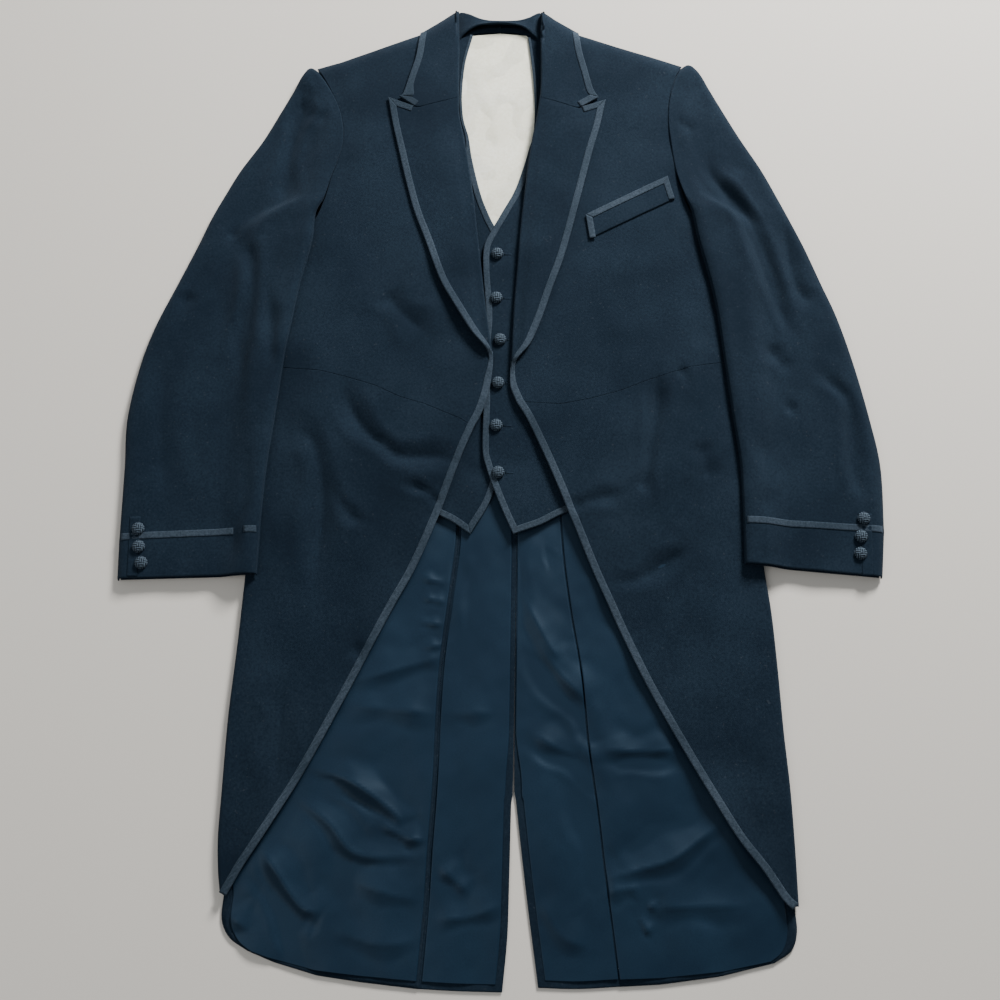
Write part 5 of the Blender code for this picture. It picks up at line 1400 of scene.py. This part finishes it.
def build_sleeve(name, coat):
    """A sleeve pressed flat: its top half, its under half, the cuff's braid and the lap with buttons."""
    side = coat["side"]
    rows = sleeve_sections(name)
    sewn = smooth(*SEWN_EDGE, rows[:, 6])
    limit = side * x_at(rounded(coat["armhole"]), rows[:, 1]) - SLEEVE_MARGIN
    rows[:, 0] = side * mix(side * rows[:, 0], limit, sewn)
    inner, outer = rows[:, 0:2], rows[:, 2:4]
    widths = np.linalg.norm(outer - inner, axis=1)
    near_radius = np.minimum(mix(SLEEVE_EDGE, SEWN_RADIUS, sewn), widths * SLEEVE_EDGE_SHARE)
    far_radius = np.minimum(SLEEVE_EDGE, widths * SLEEVE_EDGE_SHARE)
    turn = (1 - np.cos(SLEEVE_ANGLES))[None, :-1]
    near = near_radius[:, None] * turn
    far = widths[:, None] - (far_radius[:, None] * turn)[:, ::-1]
    middle = np.linspace(0.0, 1.0, max(len(SLEEVE_ANGLES), round(widths.max() / STEP)))
    inside = near_radius[:, None] + (widths - near_radius - far_radius)[:, None] * middle[None]
    across = np.concatenate((near, inside, far), axis=1)
    u = across / widths[:, None]
    flat = inner[:, None] + (outer - inner)[:, None] * u[..., None]
    distance = np.minimum(across, widths[:, None] - across)
    loft = SLEEVE_LOFT * quarter_round(distance / SLEEVE_ROUND)
    loft = mix(loft, SLEEVE_LOFT, smooth(SEWN_REACH, 0.0, across) * sewn[:, None])
    x, y = plan(flat)
    soft = np.maximum(relief(x, y, SLEEVE_LINES) + swell(x, y, SLEEVE_SWELL), SLEEVE_SINK)
    soft = soft * smooth(0.0, SLEEVE_CALM, distance)
    top = sleeve_low(rows, u, coat) + WOOL + SLEEVE_GAP + WOOL + loft + soft
    head = np.linalg.norm(outer - outer[0], axis=1)[:, None]
    top = top - mix(HEAD_DROP, 0.0, quarter_round(head / HEAD_ROUND))
    sink = (1 - np.sin(SLEEVE_ANGLES))[None, :-1]
    top[:, :near.shape[1]] -= near_radius[:, None] * sink
    top[:, -far.shape[1]:] -= (far_radius[:, None] * sink)[:, ::-1]
    to_cuff = np.linalg.norm(outer[-1] - outer, axis=1)[:, None]
    top = np.maximum(top - turned_edge(to_cuff, EDGE_ROLL), SLEEVE_LEAST)
    grid = raise_grid(flat, top)
    read = height_reader(grid)
    add_sheet(f"wool_top_sleeve_{name}", grid, SLEEVE_WALL, "navy_wool", (f"top_sleeve_{name}",),
              build_cuff(name, coat, read))
    near_margin, far_margin = (near_radius + SLEEVE_MARGIN)[:, None], (far_radius + SLEEVE_MARGIN)[:, None]
    even = np.linspace(0.0, 1.0, SLEEVE_COLUMNS)[None] * np.ones((len(rows), 1))
    u = (near_margin + (widths[:, None] - near_margin - far_margin) * even) / widths[:, None]
    flat = inner[:, None] + (outer - inner)[:, None] * u[..., None]
    add_sheet(f"wool_under_sleeve_{name}", raise_grid(flat, sleeve_low(rows, u, coat) + WOOL), SLEEVE_WALL,
              "navy_wool", (f"under_sleeve_{name}",))
    for number, (x, y) in enumerate(CUFF_BUTTONS[name], 1):
        build_button(f"cuff_button_{name}_{number}", x, y, read)


def build_button(node, x, y, read):
    """A domed button covered with basket-woven thread."""
    turn = np.linspace(0.0, 2 * math.pi, BUTTON_SPOKES + 1)[None]
    radii, heights = np.array(BUTTON_PROFILE).T
    corners = np.arange(len(BUTTON_PROFILE))
    spot = np.linspace(0.0, len(BUTTON_PROFILE) - 1.0, BUTTON_RINGS)
    r = np.maximum(np.interp(spot, corners, radii), BUTTON_TIP)[:, None] * BUTTON_RADIUS
    z = np.interp(spot, corners, heights)[:, None] * BUTTON_HEIGHT
    px, py = r * np.cos(turn), r * np.sin(turn)
    cell_x, cell_y = np.floor(px / BASKET_CELL + 0.5), np.floor(py / BASKET_CELL + 0.5)
    odd = (cell_x + cell_y) % 2
    threads = np.where(odd, np.cos(px * 3 * math.pi / BASKET_CELL), np.cos(py * 3 * math.pi / BASKET_CELL))
    woven = BASKET_RELIEF * (0.5 * threads + 0.5 * np.cos((px / BASKET_CELL) * 2 * math.pi)
                             * np.cos((py / BASKET_CELL) * 2 * math.pi))
    woven = woven * smooth(0.0, BASKET_START, z) * smooth(BUTTON_RADIUS, BUTTON_RADIUS * BASKET_END, r)
    z = z + woven + float(read(np.array([x]), np.array([y]))[0]) + SEAM
    grid = np.dstack((px + x, py + y, z))
    piece = add_piece(f"covered_{node}", [grid[::-1]], BUTTON_WALL, "covered_button", (node,))
    points = np.array([piece.data.vertices[loop.vertex_index].co[:2] for loop in piece.data.loops])
    middle = (np.array((x, y)) + SHIFT[:2]) * MM
    piece.data.uv_layers["cloth"].data.foreach_set("uv", (points - middle + BASKET_PLACE).ravel())
    return piece


def build_front_buttons():
    """The waistcoat's buttons, each with its worked buttonhole beside it."""
    def face(x, y):
        return vest_height(x, y, True)
    for number, (x, y) in enumerate(VEST_BUTTONS, 1):
        build_button(f"waistcoat_button_{number}", x, y, face)
        start, level = x + BUTTONHOLE_START, y + BUTTONHOLE_RISE
        slit = along(((start, level), (start + BUTTONHOLE_LENGTH, level)))
        thread = strip(slit, BUTTONHOLE_WIDTH, -1, face, profile=FLAT_PROFILE, lift=BUTTONHOLE_LIFT)
        add_piece(f"buttonhole_{number}", [thread], BUTTONHOLE_WALL, "navy_wool")


def build_welt():
    """The braided welt of the breast pocket, laid on the left forepart."""
    high_inner, high_outer, low_outer, low_inner = [np.array(p, float) for p in WELT_CORNERS]
    top, bottom = along((high_inner, high_outer)), along((low_inner, low_outer))
    inner, outer = along((high_inner, low_inner)), along((high_outer, low_outer))

    def face(x, y):
        return coat_height(x, y, COAT["left"]) + SEAM + WELT_WOOL
    flat = patch(top, bottom, inner, outer)
    height = face(*plan(flat))
    height -= fall_at(flat, (top, SEAM_ROLL), (inner, SEAM_ROLL), (outer, SEAM_ROLL), (bottom, WELT_ROLL))
    paths = [along((low_inner, high_inner)), top, outer]
    braid = braid_round("braid_on_welt", paths, [WELT_BAND] * len(paths), -1, face, ("braid_breast_welt",),
                        profile=FLAT_PROFILE)
    add_sheet("wool_welt", raise_grid(flat, height), WELT_WOOL * THIN_SHARE, "navy_wool", ("breast_welt",),
              (braid,))


def build_camera():
    camera = bpy.data.cameras.new("camera")
    camera.sensor_width = SENSOR
    camera.lens = FOCAL * camera.sensor_width / (2 * PHOTO_MIDDLE)
    holder = bpy.data.objects.new("camera", camera)
    holder.location = ((SHIFT + (0.0, CAMERA_Y, CAMERA_HEIGHT)) * MM).tolist()
    holder.rotation_euler = (LEAN, 0.0, 0.0)
    bpy.context.scene.collection.objects.link(holder)
    bpy.context.scene.camera = holder


def build_light(name, place, power, size):
    light = bpy.data.lights.new(name, "AREA")
    light.energy = power
    light.size = size
    holder = bpy.data.objects.new(name, light)
    holder.location = place
    holder.rotation_euler = (-Vector(place)).to_track_quat("-Z", "Y").to_euler()
    bpy.context.scene.collection.objects.link(holder)


def build_studio():
    """A plain pale floor, soft light from the collar's side, and a pale surround."""
    mesh = bpy.data.meshes.new("floor")
    corners = [(x * FLOOR_REACH, y * FLOOR_REACH, 0) for x, y in ((-1, -1), (1, -1), (1, 1), (-1, 1))]
    mesh.from_pydata(corners, [], [(0, 1, 2, 3)])
    mesh.materials.append(make_material("pale_floor", (0.66, 0.62, 0.56), roughness=0.8, sheen=0.0,
                                        specular=0.2)[0])
    floor = bpy.data.objects.new("floor", mesh)
    floor.location.z = FLOOR_Z
    bpy.context.scene.collection.objects.link(floor)
    build_light("key", (1.0, 1.9, 1.15), power=140.0, size=0.6)
    build_light("fill", (-1.5, -0.4, 1.9), power=12.0, size=1.5)
    world = bpy.data.worlds.new("studio")
    world.use_nodes = True
    world.node_tree.nodes["Background"].inputs["Color"].default_value = SURROUND
    world.node_tree.nodes["Background"].inputs["Strength"].default_value = SURROUND_STRENGTH
    bpy.context.scene.world = world


def dress_solids():
    """Cloth for the solids that keep their own shape."""
    slots = {row["node"]: row["material_slot"] for row in frame["record"]["subparts"]}
    for node, solid in frame["nodes"].items():
        solid.data.materials.clear()
        solid.data.materials.append(MATERIALS[slots[node]])


def main():
    build_camera()
    build_studio()
    dress_solids()
    for name, coat in COAT.items():
        build_back(name, coat)
        build_side_body(name, coat)
        build_skirt(name, coat)
        build_forepart(name, coat)
        build_lapel(name, coat)
        build_collar(name, coat)
        build_linings(name, coat)
        build_sleeve(name, coat)
    build_stand()
    build_vest_front("right")
    build_vest_front("left")
    build_neck()
    build_front_buttons()
    build_welt()


main()
